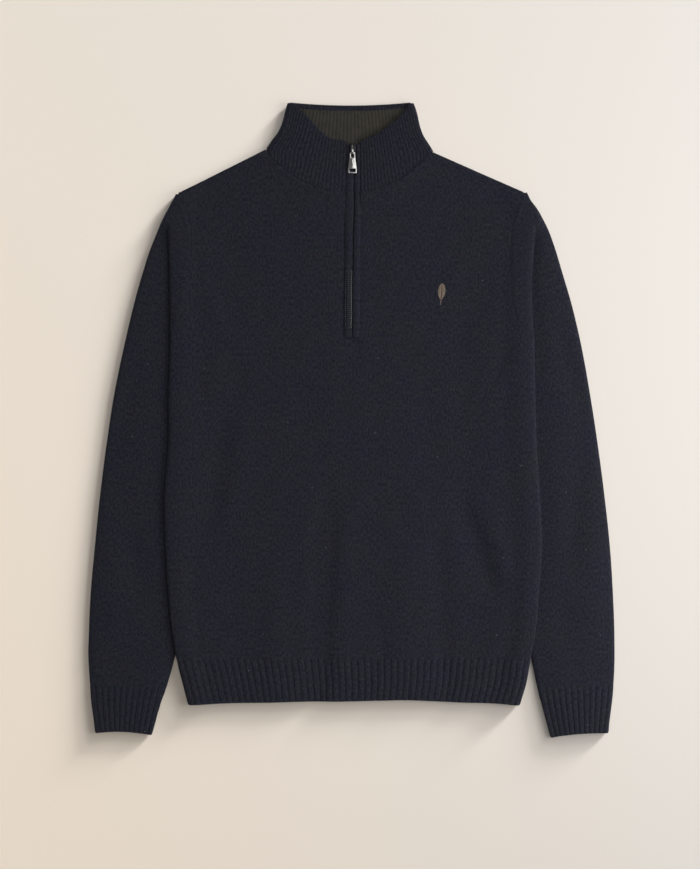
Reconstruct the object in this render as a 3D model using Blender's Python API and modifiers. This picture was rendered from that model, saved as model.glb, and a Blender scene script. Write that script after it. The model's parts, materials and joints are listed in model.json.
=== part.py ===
# Quarter zip sweater, lying flat on its back panel.
# X runs across the chest (+X is the wearer's left), Y runs from hem to collar, Z is up.
# Sizes are in millimetres; mm turns them into Blender's metres.
# Distances from the centre line are positive on both sides, in columns named left (-X) and right (+X).

import math

import bmesh
import bpy
import numpy as np

mm = 0.001
partName = "quarter_zip_sweater"

# Cloth
wall = 2.6            # knit panel thickness
ribWall = 2.2         # rib thickness in a valley
ribRise = 0.7         # how far a rib stands out of its valley
facingWall = 1.3
facingRibRise = 0.4
seamGap = 0.4         # between neighbouring pieces
layerGap = 0.4        # between cloth layers that lie on each other
hemRibPitch = 8.2
cuffRibPitch = 7.2
collarRibPitch = 4.9
facingRibPitch = 4.5
hemTop, hemBottom = -295.8, -357.0
cuffTop, cuffBottom = -329.4, -391.6
cuffTilt = {-1: 2.6, 1: 5.6}   # how much lower the cuff hangs at its inner end
hemBow = 3.4                   # how much higher the hem is at the middle
armpit = 103.0        # level where the armhole seam runs over the side fold
underarm = 20.0       # level where the sleeve closes into a tube
shoulderEnd = 281.6

# Heights of the middle of each cloth layer above the surface
backLayer = wall / 2
sleeveLayer = backLayer + 0.15
sleeveTopAtFold = backLayer + wall + 0.5
foldReturn = sleeveTopAtFold + wall + layerGap
chestHeight = 5.9
neckHeight = 7.6

# Zip
zipTopX, zipBottomX = 3.6, 1.4
zipTop, zipBottom = 349.0, 103.8
slitHalf = 9.6
tapeWidth, tapeThick = 13.0, 0.6
edgeStart, edgeEnd = 106.0, 312.0
edgeWidth, edgeThick = 7.0, 3.4
sliderTop = 9.1
pivotY, pivotZ = 333.25, 11.0
tabThick = 1.4
tabEnd = 306.9
tabTopWidth, tabEndWidth = 8.4, 12.1

# Collar
neckDrop, neckSeamLow = 49.0, 285.0
neckReachLeft, neckReachRight = 106.0, 99.0
backNeckDip = 9.0
collarHeightMid = 8.2
facingHeight = backLayer + wall / 2 + 0.3 + facingWall / 2
turnedEdge = 5.0


def table(columns, *rows):
    return {name: np.array([row[i] for row in rows], float) for i, name in enumerate(columns.split())}


# Visible folds and edges of body and sleeves, level by level from the cuffs up.
# fold: body's side fold; out: sleeve's outer fold; inner: sleeve's inner fold or, above the armpit,
# the bottom of the pleat; back: edge of the back panel; rise and under: height of the cloth on top
# of the side fold and under it.
levels = table(
    "y foldLeft foldRight outLeft outRight innerLeft innerRight backLeft backRight rise under",
    (-392, 194.0, 203.0, 317.8, 319.5, 250.5, 249.5, 180.0, 188.0, 8.2, 1.3),
    (-357, 202.5, 210.5, 323.0, 323.0, 239.5, 238.5, 188.5, 196.5, 8.4, 1.3),
    (-330, 210.0, 218.5, 324.5, 325.5, 230.5, 232.0, 196.0, 204.0, 9.6, 2.0),
    (-296, 218.0, 224.3, 328.0, 327.0, 220.2, 225.6, 202.0, 208.0, 12.0, 6.4),
    (-266, 222.0, 231.0, 328.0, 327.0, 212.0, 219.5, 197.0, 204.0, 13.6, 7.3),
    (-216, 227.0, 235.5, 325.5, 325.0, 203.0, 210.5, 187.0, 194.5, 14.6, 7.3),
    (-158, 230.5, 239.5, 320.0, 321.0, 195.5, 203.0, 179.5, 187.0, 14.8, 7.3),
    (-100, 232.0, 237.5, 314.0, 315.0, 192.0, 197.5, 176.0, 181.5, 14.8, 7.3),
    (-26, 226.5, 236.0, 304.5, 305.5, 189.5, 194.0, 173.5, 178.0, 14.8, 7.3),
    (34, 226.5, 234.0, 295.5, 295.5, 188.5, 191.5, 180.0, 184.0, 14.8, 7.3),
    (94, 224.5, 231.0, 283.0, 285.5, 188.5, 191.0, 190.0, 192.0, 14.8, 7.3),
    (144, 225.0, 227.5, 272.0, 274.5, 195.0, 197.0, 196.0, 196.5, 14.4, 7.3),
    (184, 225.5, 228.0, 260.5, 263.0, 205.5, 208.0, 198.0, 198.5, 13.6, 7.3),
    (214, 226.5, 230.5, 250.5, 254.5, 216.0, 220.5, 198.5, 199.0, 12.8, 7.3),
    (234, 227.0, 232.0, 243.0, 247.0, 223.0, 228.0, 199.5, 200.5, 12.0, 7.1),
    (250, 226.5, 232.0, 236.5, 240.0, 226.0, 231.5, 202.5, 203.5, 11.2, 6.2),
    (264, 225.0, 230.0, 228.5, 232.5, 225.0, 230.0, 207.0, 208.0, 10.2, 5.8),
    (274, 221.5, 224.0, 223.0, 225.0, 221.5, 224.0, 211.5, 212.5, 9.5, 5.6),
    (282, 218.0, 218.4, 219.4, 219.8, 218.0, 218.4, 215.6, 216.0, 9.0, 5.4),
)

# Armhole seam on the front, from the armpit up to the shoulder.
armhole = table(
    "y left right",
    (103, 217.6, 224.6),
    (116, 215.5, 214.5),
    (132, 211.5, 206.0),
    (154, 206.0, 201.8),
    (184, 201.5, 199.8),
    (212, 199.0, 199.6),
    (238, 199.5, 201.5),
    (263, 206.5, 207.5),
    (282, 215.6, 216.0),
)

# Soft creases of the front: a trough (rise below 0) or ridge along a line from x0, y0 to x1, y1.
frontFolds = table(
    "x0 y0 x1 y1 width rise",
    (-138, 20, -166, -158, 11, -3.0),
    (-118, -10, -132, -120, 13, 1.8),
    (-22, -70, -32, -360, 12, -2.6),
    (-2, -120, -6, -330, 14, 1.6),
    (158, -92, 188, -200, 10, -2.8),
    (178, -80, 205, -180, 10, 1.5),
    (128, -200, 124, -360, 9, -2.2),
    (70, -150, 62, -340, 18, 1.4),
    (-92, -190, -98, -350, 16, 1.4),
    (-150, 235, -95, 212, 8, 1.2),
    (168, 240, 120, 160, 14, 1.3),
    (-178, 150, -120, 60, 13, 1.2),
)

# Soft creases of the sleeves, in distances from the centre line.
sleeveFolds = table(
    "side x0 y0 x1 y1 width rise",
    (-1, 268, 60, 300, -60, 10, -1.6),
    (-1, 276, -120, 262, -230, 12, -1.8),
    (-1, 300, -150, 296, -290, 12, 1.4),
    (1, 262, 110, 288, 10, 9, -1.5),
    (1, 285, -40, 276, -180, 12, -1.8),
    (1, 306, -110, 300, -280, 12, 1.3),
    (1, 262, -230, 275, -310, 10, -1.4),
)

# Collar: its side folds, and the top edge of its front.
collarSides = table(
    "y left right",
    (334, 106.5, 103.5),
    (344, 100.8, 97.3),
    (354, 93.3, 91.0),
    (364, 88.2, 87.2),
    (374, 84.6, 84.6),
    (384, 82.0, 82.2),
    (395, 79.0, 78.5),
)
collarFrontTop = table(
    "x y",
    (-76, 391.5),
    (-62, 378.5),
    (-50, 367.2),
    (-37, 357.6),
    (-28, 352.6),
    (-18, 350.8),
    (-7, 351.5),
    (10, 349.0),
    (20, 353.5),
    (30, 359.0),
    (40, 366.0),
    (48, 374.0),
    (58, 384.0),
    (75, 391.5),
)

colours = {
    "navy_wool": (0.0185, 0.0185, 0.0252, 1.0),
    "olive_rib": (0.0330, 0.0310, 0.0270, 1.0),
    "zip_tape": (0.0160, 0.0165, 0.0230, 1.0),
    "zip_metal": (0.5600, 0.5500, 0.5300, 1.0),
}


def read(rows, column, at):
    """A smooth curve through one column of a table."""
    names = list(rows)
    keys, values = rows[names[0]], rows[column]
    slopes = np.gradient(values, keys)
    i = int(np.clip(np.searchsorted(keys, at) - 1, 0, len(keys) - 2))
    span = keys[i + 1] - keys[i]
    t = min(max((at - keys[i]) / span, 0.0), 1.0)
    ends = (2 * t**3 - 3 * t**2 + 1) * values[i] + (3 * t**2 - 2 * t**3) * values[i + 1]
    return ends + span * ((t**3 - 2 * t**2 + t) * slopes[i] + (t**3 - t**2) * slopes[i + 1])


def sided(rows, column, side, at):
    return read(rows, column + ("Right" if side > 0 else "Left"), at)


def ease(t):
    t = min(max(t, 0.0), 1.0)
    return t * t * (3 - 2 * t)


def mix(a, b, t):
    return a + (b - a) * t


def spline(controls, perSpan=8):
    """A cubic B-spline that starts and ends at its first and last control."""
    p = np.array(controls, float)
    p = np.vstack([2 * p[0] - p[1], p, 2 * p[-1] - p[-2]])
    points = []
    for i in range(len(p) - 3):
        for t in np.arange(perSpan) / perSpan:
            weights = np.array([(1 - t) ** 3, 3 * t**3 - 6 * t**2 + 4, -3 * t**3 + 3 * t**2 + 3 * t + 1, t**3])
            points.append(weights @ p[i:i + 4] / 6)
    points.append(p[-2])
    return np.array(points)


def spaced(points, count):
    """The same line as count + 1 points, evenly spaced along it."""
    steps = np.linalg.norm(np.diff(points, axis=0), axis=1)
    length = np.concatenate([[0], np.cumsum(steps)])
    at = np.linspace(0, length[-1], count + 1)
    return np.stack([np.interp(at, length, points[:, axis]) for axis in range(points.shape[1])], axis=1)


def creases(rows, x, y):
    """What the soft creases add to the height at x, y."""
    total = 0.0
    for x0, y0, x1, y1, width, rise in zip(*(rows[name] for name in ("x0", "y0", "x1", "y1", "width", "rise"))):
        run = np.array([x1 - x0, y1 - y0])
        along = ((x - x0) * run[0] + (y - y0) * run[1]) / (run @ run)
        across = abs((x - x0) * run[1] - (y - y0) * run[0]) / np.hypot(*run)
        fade = ease((along + 0.25) / 0.5) * ease((1.25 - along) / 0.5)
        total += rise * fade * math.exp(-((across / width) ** 2))
    return total


def sleeveCreases(side, x, y):
    chosen = sleeveFolds["side"] == side
    return creases({name: values[chosen] for name, values in sleeveFolds.items()}, x, y)


def neckLine(x):
    """The neck seam on the front."""
    reach = neckReachLeft if x < 0 else neckReachRight
    return neckSeamLow + neckDrop * min(abs(x) / reach, 1.0) ** 2.2


def shoulderLine(x):
    return shoulderEnd + (216.0 - abs(x)) * (0.5 if x < 0 else 0.46)


def panelTop(x):
    """The front panel's top edge: neck seam between the shoulders' sloping edges."""
    reach = neckReachLeft if x < 0 else neckReachRight
    if abs(x) <= reach:
        return neckLine(x) - seamGap
    return shoulderLine(x)


def neckDistance(x, y):
    """Roughly how far below the neck seam a point of the front lies."""
    reach = neckReachLeft if x < 0 else neckReachRight
    return math.hypot(max(abs(x) - reach, 0.0), max(neckLine(x) - y, 0.0))


def topHeight(x, y):
    """Height of the middle of the front cloth inside the side folds."""
    side = 1 if x > 0 else -1
    fold, inner = sided(levels, "fold", side, y), sided(levels, "inner", side, y)
    rise = read(levels, "rise", y)
    shelf = 0.72 * rise - 0.1
    out = abs(x)
    reach = max(fold - inner, 16.0)
    height = chestHeight + (shelf - chestHeight) * ease((out - fold + reach + 42) / 42)
    height += (rise - shelf) * ease((out - fold + reach) / reach)
    height += (neckHeight - chestHeight) * ease(1 - neckDistance(x, y) / 38)
    calm = ease((fold - out) / 22)
    lowest = backLayer + wall + layerGap
    return max(height + creases(frontFolds, x, y) * calm, lowest)


def foldPath(side, y):
    """The front cloth from the top of the side fold, round it and back under over the sleeve."""
    fold, inner = sided(levels, "fold", side, y), sided(levels, "inner", side, y)
    rise, under = read(levels, "rise", y), read(levels, "under", y)
    end = min(inner + mix(4, 16, ease((y - 20) / 30)), fold - 9)
    return spline([
        (fold - 7, topHeight(side * (fold - 7), y)),
        (fold, rise),
        (fold, under),
        (fold - 7, under),
        (mix(fold - 7, end, 0.5), under),
        (end, under),
    ])


def underPath(side, y):
    """The front cloth from the end of foldPath down to the edge of the back panel."""
    fold, inner = sided(levels, "fold", side, y), sided(levels, "inner", side, y)
    start = min(inner + 4, fold - 9)
    back = sided(levels, "back", side, y) + 4 * seamGap
    under = read(levels, "under", y)
    return spline([
        (start, under),
        (mix(start, back, 0.3), under),
        (mix(start, back, 0.7), mix(under, backLayer, 0.8)),
        (mix(start, back, 0.85), backLayer),
        (back, backLayer),
    ])


def pleatPath(side, y):
    """The sleeve cloth from the armhole seam over the side fold and back to the bottom of the pleat,
    then on as sleevePath."""
    seam = read(armhole, "right" if side > 0 else "left", y) + seamGap / 2
    fold, inner = sided(levels, "fold", side, y), sided(levels, "inner", side, y)
    rise = read(levels, "rise", y)
    tuck = fold - inner
    pinch = min(tuck / 6, 1.0)
    middle = (sleeveTopAtFold + foldReturn) / 2
    under = mix(middle, foldReturn, pinch)
    lead = min(7.0, 0.5 * (fold - seam))
    controls = [
        (seam, topHeight(side * seam, y)),
        (mix(seam, fold - lead, 0.6), topHeight(side * mix(seam, fold - lead, 0.6), y)),
        (fold - lead, mix(topHeight(side * (fold - lead), y), rise, 0.5)),
        (fold, rise),
        (fold, under),
        (fold - min(7.0, 0.4 * tuck), under),
        (mix(fold, inner, 0.8), under),
    ]
    return controls


def sleeveTopHeight(side, share, y):
    """Height of the sleeve's upper cloth at a share of its width from the inner to the outer fold."""
    return mix(5.2, 7.2, math.sin(math.pi * min(max(share, 0.0), 1.0)) ** 0.7)


def sleevePath(side, y):
    """The sleeve's cloth from its inner fold across the top, round the outer fold and back below."""
    fold, inner = sided(levels, "fold", side, y), sided(levels, "inner", side, y)
    out = sided(levels, "out", side, y)
    pleated = y > armpit
    closed = y < underarm - 30
    pinch = min((fold - inner) / 6, 1.0) if pleated else 1.0
    middle = (sleeveTopAtFold + foldReturn) / 2
    start = middle if pleated else (sleeveLayer + sleeveTopAtFold) / 2 if closed else sleeveTopAtFold
    top = mix(middle, sleeveTopAtFold, pinch)
    clear = max(inner + 4, fold + 2) if y > hemTop else inner + 4
    width = out - clear
    controls = [(inner, start), (min(inner + 3, clear), top), (mix(inner, clear, 0.6), top), (clear, top)]
    for share in (0.14, 0.32, 0.52, 0.72, 0.88):
        x = clear + share * width
        bump = sleeveCreases(side, x, y) * ease(width / 60)
        height = mix(top, sleeveTopHeight(side, share, y), ease(share / 0.3)) * ease(width / 30) + \
            top * (1 - ease(width / 30))
        controls.append((x, max(height + bump, top)))
    edge = min(6.0, 0.3 * width + 1)
    end = mix(inner + 6, sided(levels, "back", side, y) + seamGap, ease((y - underarm + 40) / 40))
    controls += [
        (out, top + 0.6),
        (out, sleeveLayer),
        (out - edge, sleeveLayer),
        (out - 2 * edge, sleeveLayer),
        (mix(out, end, 0.6), sleeveLayer),
        (end, sleeveLayer),
    ]
    return controls


def innerRoll(side, y):
    """The closed sleeve's cloth from its underarm seam on the floor side to the inner fold."""
    inner = sided(levels, "inner", side, y)
    return [(inner + 5.6, sleeveLayer), (inner + 3, sleeveLayer), (inner, sleeveLayer)]


def armRow(side, y, lead, across):
    """One row of a sleeve: the lead stretch (pleat or inner roll, if any) and the rest, evenly spaced."""
    before = pleatPath(side, y) if y > armpit else innerRoll(side, y) if y < underarm - 30 else []
    line = spline(before + sleevePath(side, y))
    cut = len(before) * 8
    first = spaced(line[:cut + 1], lead) if before else None
    return first, spaced(line[cut:], across)


class Cloth:
    """An open sheet of quads, laid patch by patch, that becomes a wall of even or ribbed thickness."""

    def __init__(self):
        self.mesh = bmesh.new()
        self.weight = self.mesh.verts.layers.float.new("rib")

    def patch(self, rows, side=1, ribs=None):
        """rows run up, points run to the right as the outside is seen; side -1 mirrors them."""
        grid = []
        for r, row in enumerate(rows):
            line = []
            for c, (x, y, z) in enumerate(row):
                vert = self.mesh.verts.new((side * x, y, z))
                vert[self.weight] = ribs[r][c] if ribs is not None else 0.0
                line.append(vert)
            grid.append(line if side > 0 else line[::-1])
        for low, high in zip(grid, grid[1:]):
            for a, b, c, d in zip(low, low[1:], high[1:], high):
                self.mesh.faces.new((a, b, c, d))

    def build(self, name, material, thick, rise=0.0):
        bm = self.mesh
        bmesh.ops.remove_doubles(bm, verts=bm.verts, dist=0.001)
        bm.normal_update()
        moved = [(vert, vert.co - vert.normal * (thick / 2)) for vert in bm.verts]
        for vert, place in moved:
            vert.co = place * mm
        mesh = bpy.data.meshes.new(name)
        weights = [vert[self.weight] for vert in bm.verts]
        bm.to_mesh(mesh)
        bm.free()
        piece = addObject(name, mesh, material)
        solid = piece.modifiers.new("wall", "SOLIDIFY")
        solid.thickness = (thick + rise) * mm
        solid.offset = 1.0
        if rise:
            group = piece.vertex_groups.new(name="rib")
            for index, weight in enumerate(weights):
                group.add([index], (thick + rise * weight) / (thick + rise), "REPLACE")
            solid.vertex_group = "rib"
        return piece


def addObject(name, mesh, material):
    piece = bpy.data.objects.new(name, mesh)
    collection.objects.link(piece)
    mesh.materials.append(material)
    mesh.shade_smooth()
    mesh.set_sharp_from_angle(angle=math.radians(50))
    return piece


def addMaterial(name, roughness, metallic=0.0):
    material = bpy.data.materials.new(name)
    material.use_nodes = True
    shader = material.node_tree.nodes["Principled BSDF"]
    shader.inputs["Base Color"].default_value = colours[name]
    shader.inputs["Roughness"].default_value = roughness
    shader.inputs["Metallic"].default_value = metallic
    return material


def lifted(line, y):
    """A path in X and Z at one level, as points in space."""
    return [(x, y, z) for x, z in line]


def hung(side, line, y):
    """A path at one level of a sleeve, sheared down towards its inner end near the cuff."""
    inner, out = sided(levels, "inner", side, y), sided(levels, "out", side, y)
    drop = cuffTilt[side] * ease((-250 - y) / 79)
    return [(x, y - drop * (out - x) / (out - inner), z) for x, z in line]


def bowed(line, y):
    """A path at one level of the hem, raised towards the middle at the bottom."""
    lift = hemBow * (hemTop - y) / (hemTop - hemBottom)
    return [(x, y + lift * (1 - (x / 206.0) ** 2) * float(abs(x) < 206), z) for x, z in line]


def ribWeights(count, rows):
    """1 on a rib, 0 in the valley beside it."""
    return [[c % 2 for c in range(count + 1)] for _ in range(rows)]


# The front's rows, by the level of their ends at the side. The armhole starts after wrapRows.
wrapLevels = [-295.8, -268, -240, -208, -170, -130, -88, -45, -8, 30, 66, 102.8]
armholeLevels = [116, 132, 154, 184, 212, 238, 254, 265, 274, 281.2]
armRows = [103.2] + armholeLevels[:-1] + [281.4]


def zipCentre(y):
    return mix(zipBottomX, zipTopX, (y - zipBottom) / (zipTop - zipBottom))


def frontRow(side, level, columns):
    """One row of half the front panel, from the slit's edge to the side fold or the armhole seam."""
    if level < armpit:
        reach = sided(levels, "fold", side, level) - 7
    else:
        reach = read(armhole, "right" if side > 0 else "left", level) - seamGap / 2
    low, high = 0.0, armholeLevels[-1]
    climb = max(level - low, 0.0) / (high - low)
    topReach = read(armhole, "right" if side > 0 else "left", high)
    corner = panelTop(side * topReach)
    row = []
    for share in columns:
        x = side * mix(slitHalf + side * zipCentre(level), reach, share)
        topX = side * mix(slitHalf + side * zipCentre(high), topReach, share)
        y = level + climb * (panelTop(topX) - corner)
        row.append((side * x, y, topHeight(x, y)))
    return row


def makeFront(columns, wrapColumns):
    cloth = Cloth()
    for side in (1, -1):
        rows = [frontRow(side, level, columns) for level in wrapLevels + armholeLevels]
        top = rows[-1]
        reach = neckReachRight if side > 0 else neckReachLeft
        ends = [(x, y + (0 if abs(x) < reach else 4.4), z if abs(x) < reach else 3.3) for x, y, z in top]
        shoulder = [(x, y + (0 if abs(x) < reach else 3.4), z - (0 if abs(x) < reach else 1.0)) for x, y, z in top]
        first = next(c for c, point in enumerate(top) if point[0] >= reach)
        cloth.patch(rows, side)
        cloth.patch([top[first - 1:], [top[first - 1]] + shoulder[first:]], side)
        cloth.patch([[top[first - 1]] + shoulder[first:], [top[first - 1]] + ends[first:]], side)
        cloth.patch([lifted(spaced(foldPath(side, level), wrapColumns), level) for level in wrapLevels], side)
        closed = [level for level in wrapLevels if level < 0]
        cloth.patch([lifted(spaced(underPath(side, level), 3), level) for level in closed], side)
    strip = []
    for level in wrapLevels:
        left, right = frontRow(-1, level, [0.0])[0], frontRow(1, level, [0.0])[0]
        strip.append([(-left[0], left[1], left[2]), right])
    cloth.patch(strip)
    return cloth.build("body_front", navy, wall)


def makeBack():
    cloth = Cloth()
    shares = np.linspace(-1, 1, 15)
    levelsUp = wrapLevels[:9] + [25, 62, 95] + armRows
    rows = []
    for level in levelsUp:
        climb = max(level - 95, 0.0) / (levelsUp[-1] - 95)
        row = []
        for share in shares:
            side = 1 if share > 0 else -1
            x = share * (sided(levels, "back", side, level) if share else 0.0)
            topX = share * (sided(levels, "back", side, levelsUp[-1]) if share else 0.0)
            top = shoulderLine(topX)
            reach = neckReachLeft if topX < 0 else neckReachRight
            if abs(topX) < reach:
                top = shoulderLine(math.copysign(reach, topX)) - backNeckDip * (1 - (topX / reach) ** 2)
            corner = shoulderLine(side * sided(levels, "back", side, levelsUp[-1]))
            row.append((x, level + climb * (top - corner), backLayer))
        rows.append([(x, y, z) for x, y, z in row][::-1])
    cloth.patch(rows)
    return cloth.build("body_back", navy, wall)


def sidePath(side, y):
    """The whole way of the front cloth round the side fold and down to the edge of the back."""
    return np.vstack([foldPath(side, y), underPath(side, y)[1:]])


def makeHemFront():
    cloth = Cloth()
    rows = []
    for level in (hemBottom, mix(hemBottom, hemTop, 0.5), hemTop - seamGap):
        right, left = sidePath(1, level), sidePath(-1, level)
        reachLeft, reachRight = left[0][0], right[0][0]
        across = [(x, topHeight(x, level)) for x in np.linspace(-reachLeft, reachRight, 60)[1:-1]]
        line = np.array([(-x, z) for x, z in left[::-1]] + across + [tuple(p) for p in right])
        rows.append(line)
    length = np.linalg.norm(np.diff(rows[-1], axis=0), axis=1).sum()
    count = 2 * round(length / hemRibPitch)
    heights = (hemBottom, mix(hemBottom, hemTop, 0.5), hemTop - seamGap)
    grid = [bowed(spaced(line, count), level) for line, level in zip(rows, heights)]
    cloth.patch(grid, ribs=[[(c % 2) * float(point[2] > 2.4) for c, point in enumerate(row)] for row in grid])
    return cloth.build("hem_front", navy, ribWall, ribRise)


def makeHemBack():
    cloth = Cloth()
    rows = []
    for level in (hemBottom, mix(hemBottom, hemTop, 0.5), hemTop - seamGap):
        left, right = sided(levels, "back", -1, level), sided(levels, "back", 1, level)
        rows.append(bowed([(x, ribWall / 2) for x in np.linspace(right, -left, 9)], level))
    cloth.patch(rows)
    return cloth.build("hem_back", navy, ribWall)


def makeSleeve(side, name, lead, across):
    cloth = Cloth()
    lower = [-329, -300, -272, -240, -205, -165, -125, -85, -45, -14]
    middle = [25, 62, 95]
    allRows, pleat, roll = [], [], []
    for level in lower + middle + armRows:
        first, rest = armRow(side, level, lead, across)
        allRows.append(hung(side, rest, level))
        if level in lower:
            roll.append(hung(side, spaced(np.array(first), 3), level))
        if level in armRows:
            pleat.append(lifted(first, level))
    cloth.patch(allRows, side)
    cloth.patch(pleat, side)
    cloth.patch(roll, side)
    return cloth.build(name, navy, wall)


def makeCuff(side, name):
    cloth = Cloth()
    heights = (cuffBottom, mix(cuffBottom, cuffTop, 0.5), cuffTop - seamGap)
    lines = [spline(innerRoll(side, level) + sleevePath(side, level)) for level in heights]
    length = np.linalg.norm(np.diff(lines[-1], axis=0), axis=1).sum()
    count = 2 * round(length / cuffRibPitch)
    grid, weights = [], []
    for line, level in zip(lines, heights):
        points = spaced(line, count)
        grid.append(hung(side, points, level))
        weights.append([(c % 2) * float(points[c][1] > 2.4) for c in range(count + 1)])
    cloth.patch(grid, side, weights)
    return cloth.build(name, navy, ribWall, ribRise)


def collarTopFront(x):
    return read(collarFrontTop, "y", x)


def collarBackTop(x):
    return 394.6 - 4.0 * (1 - (x / 78.0) ** 2)


def collarBackBottom(x):
    reach = neckReachLeft if x < 0 else neckReachRight
    return shoulderLine(math.copysign(reach, x)) + 2 * seamGap - backNeckDip * (1 - min(abs(x) / reach, 1) ** 2)


def collarFrontHeight(share):
    """share 0 at the side fold, 1 at the zip."""
    return mix(neckHeight, collarHeightMid, math.sin(math.pi * share))


def collarRow(v, frontCount, bendCount, backCount):
    """One row of the collar at a share v of its height, from the left zip edge round the back to the right."""
    halves = {}
    for side in (-1, 1):
        reach = (neckReachLeft if side < 0 else neckReachRight) + 1.5
        bottomX = np.linspace(reach, side * zipCentre(290) + slitHalf, frontCount + 1)
        topX = np.linspace(74.0, side * zipCentre(345) + slitHalf - 1.0, frontCount + 1)
        row = []
        for i in range(frontCount + 1):
            share = i / frontCount
            y0 = neckLine(side * min(bottomX[i], reach - 1.5)) + seamGap
            y1 = collarTopFront(side * topX[i])
            y = mix(y0, y1, v)
            x = mix(bottomX[i], topX[i], v)
            if share < 0.5:
                fold = read(collarSides, "right" if side > 0 else "left", y) - 3.2
                straight = mix(bottomX[0], topX[0], v)
                x += (fold - straight) * ease(1 - share / 0.5)
            row.append((x, y, collarFrontHeight(share)))
        halves[side] = row
    back = []
    for share in np.linspace(-1, 1, backCount + 1):
        side = 1 if share > 0 else -1
        x0, x1 = share * (neckReachRight if side > 0 else neckReachLeft), share * 76.0
        y = mix(collarBackBottom(x0), collarBackTop(x1), v)
        edge = halves[side][0][0]
        back.append((share * edge, y, backLayer))
    line = [(-x, y, z) for x, y, z in halves[-1][::-1]]
    line += bend(line[-1], back[0], bendCount, -1)
    line += back
    line += bend(back[-1], (halves[1][0][0],) + halves[1][0][1:], bendCount, 1)
    line += halves[1]
    return line


def bend(start, end, count, side):
    """Points round a fold between two layers, bulging to the side."""
    start, end = np.array(start), np.array(end)
    radius = abs(start[2] - end[2]) / 2
    points = []
    for i in range(1, count):
        angle = math.pi * i / count
        place = mix(start, end, (1 - math.cos(angle)) / 2)
        points.append((place[0] + side * radius * math.sin(angle), place[1], place[2]))
    return points


def makeCollar():
    cloth = Cloth()
    frontCount = 2 * round((neckReachLeft - slitHalf) / collarRibPitch)
    bendCount, backCount = 5, 12
    rows = [collarRow(v, frontCount, bendCount, backCount) for v in (0.0, 0.33, 0.67, 1.0)]
    last = len(rows[0]) - 1
    weights = [[(c % 2) * float(c < frontCount or c > last - frontCount) for c in range(last + 1)] for _ in rows]
    cloth.patch([row[::-1] for row in rows], ribs=[line[::-1] for line in weights])
    first = frontCount + bendCount
    top = rows[-1][first:first + backCount + 1]
    turned = [top]
    for reach, height in ((1.3, 2.75), (0.0, 4.2), (-turnedEdge, 4.2)):
        turned.append([(x * (1 - 0.02 * (height > 4)), y + reach, height) for x, y, z in top])
    cloth.patch([row[::-1] for row in turned])
    return cloth.build("collar", navy, ribWall, ribRise)


def makeFacing():
    cloth = Cloth()
    count = 2 * round(146.0 / facingRibPitch)
    rows = []
    for v in (0.0, 0.5, 1.0):
        row = []
        for share in np.linspace(-1, 1, count + 1):
            x = share * mix(86.0, 72.0, v)
            high = collarBackTop(share * 76.0) - turnedEdge - ribWall / 2 - seamGap
            row.append((x, mix(332.0, high, v), facingHeight))
        rows.append(row)
    cloth.patch(rows, ribs=ribWeights(count, len(rows)))
    return cloth.build("collar_facing", olive, facingWall, facingRibRise)


def loft(name, rings, material):
    """A closed body through rings of equal count, each running anticlockwise seen from the last ring's end."""
    bm = bmesh.new()
    loops = [[bm.verts.new(np.array(point) * mm) for point in ring] for ring in rings]
    for low, high in zip(loops, loops[1:]):
        for i in range(len(low)):
            j = (i + 1) % len(low)
            bm.faces.new((low[i], low[j], high[j], high[i]))
    bm.faces.new(loops[0][::-1])
    bm.faces.new(loops[-1])
    bmesh.ops.recalc_face_normals(bm, faces=bm.faces)
    mesh = bpy.data.meshes.new(name)
    bm.to_mesh(mesh)
    bm.free()
    return addObject(name, mesh, material)


def slab(centre, halfWidth, halfThick, corner=0.3):
    """A flat ring with clipped corners in the XZ plane at a point."""
    x, y, z = centre
    cut = corner * halfThick
    signs = [(-1, -1), (1, -1), (1, 1), (-1, 1)]
    ring = []
    for sx, sz in signs:
        near = (x + sx * (halfWidth - cut), y, z + sz * halfThick)
        far = (x + sx * halfWidth, y, z + sz * (halfThick - cut))
        ring += [far, near] if sx * sz > 0 else [near, far]
    return ring


def tapeHeight(y):
    """Under the front cloth, and over the facing inside the collar."""
    return mix(4.1, 5.4, ease((y - 280) / 30))


def makeTape(side, name):
    rings = []
    for y in np.linspace(zipBottom - 8, zipTop, 9):
        centre = zipCentre(y) + side * (seamGap / 2 + tapeWidth / 2)
        rings.append(slab((centre, y, tapeHeight(y)), tapeWidth / 2, tapeThick / 2))
    return loft(name, rings, tapeCloth)


def makeZipEdge(side, name):
    rings = []
    for y in np.linspace(edgeStart, edgeEnd, 9):
        outer = slitHalf - seamGap
        x = zipCentre(y) + side * (outer - edgeWidth / 2)
        z = tapeHeight(y) + tapeThick / 2 + layerGap + edgeThick / 2
        angles = [2 * math.pi * (i + 0.5) / 8 for i in range(8)]
        rings.append([(x + edgeWidth / 2 * math.cos(a), y, z + edgeThick / 2 * math.sin(a)) for a in angles])
    return loft(name, rings, navy)


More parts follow.
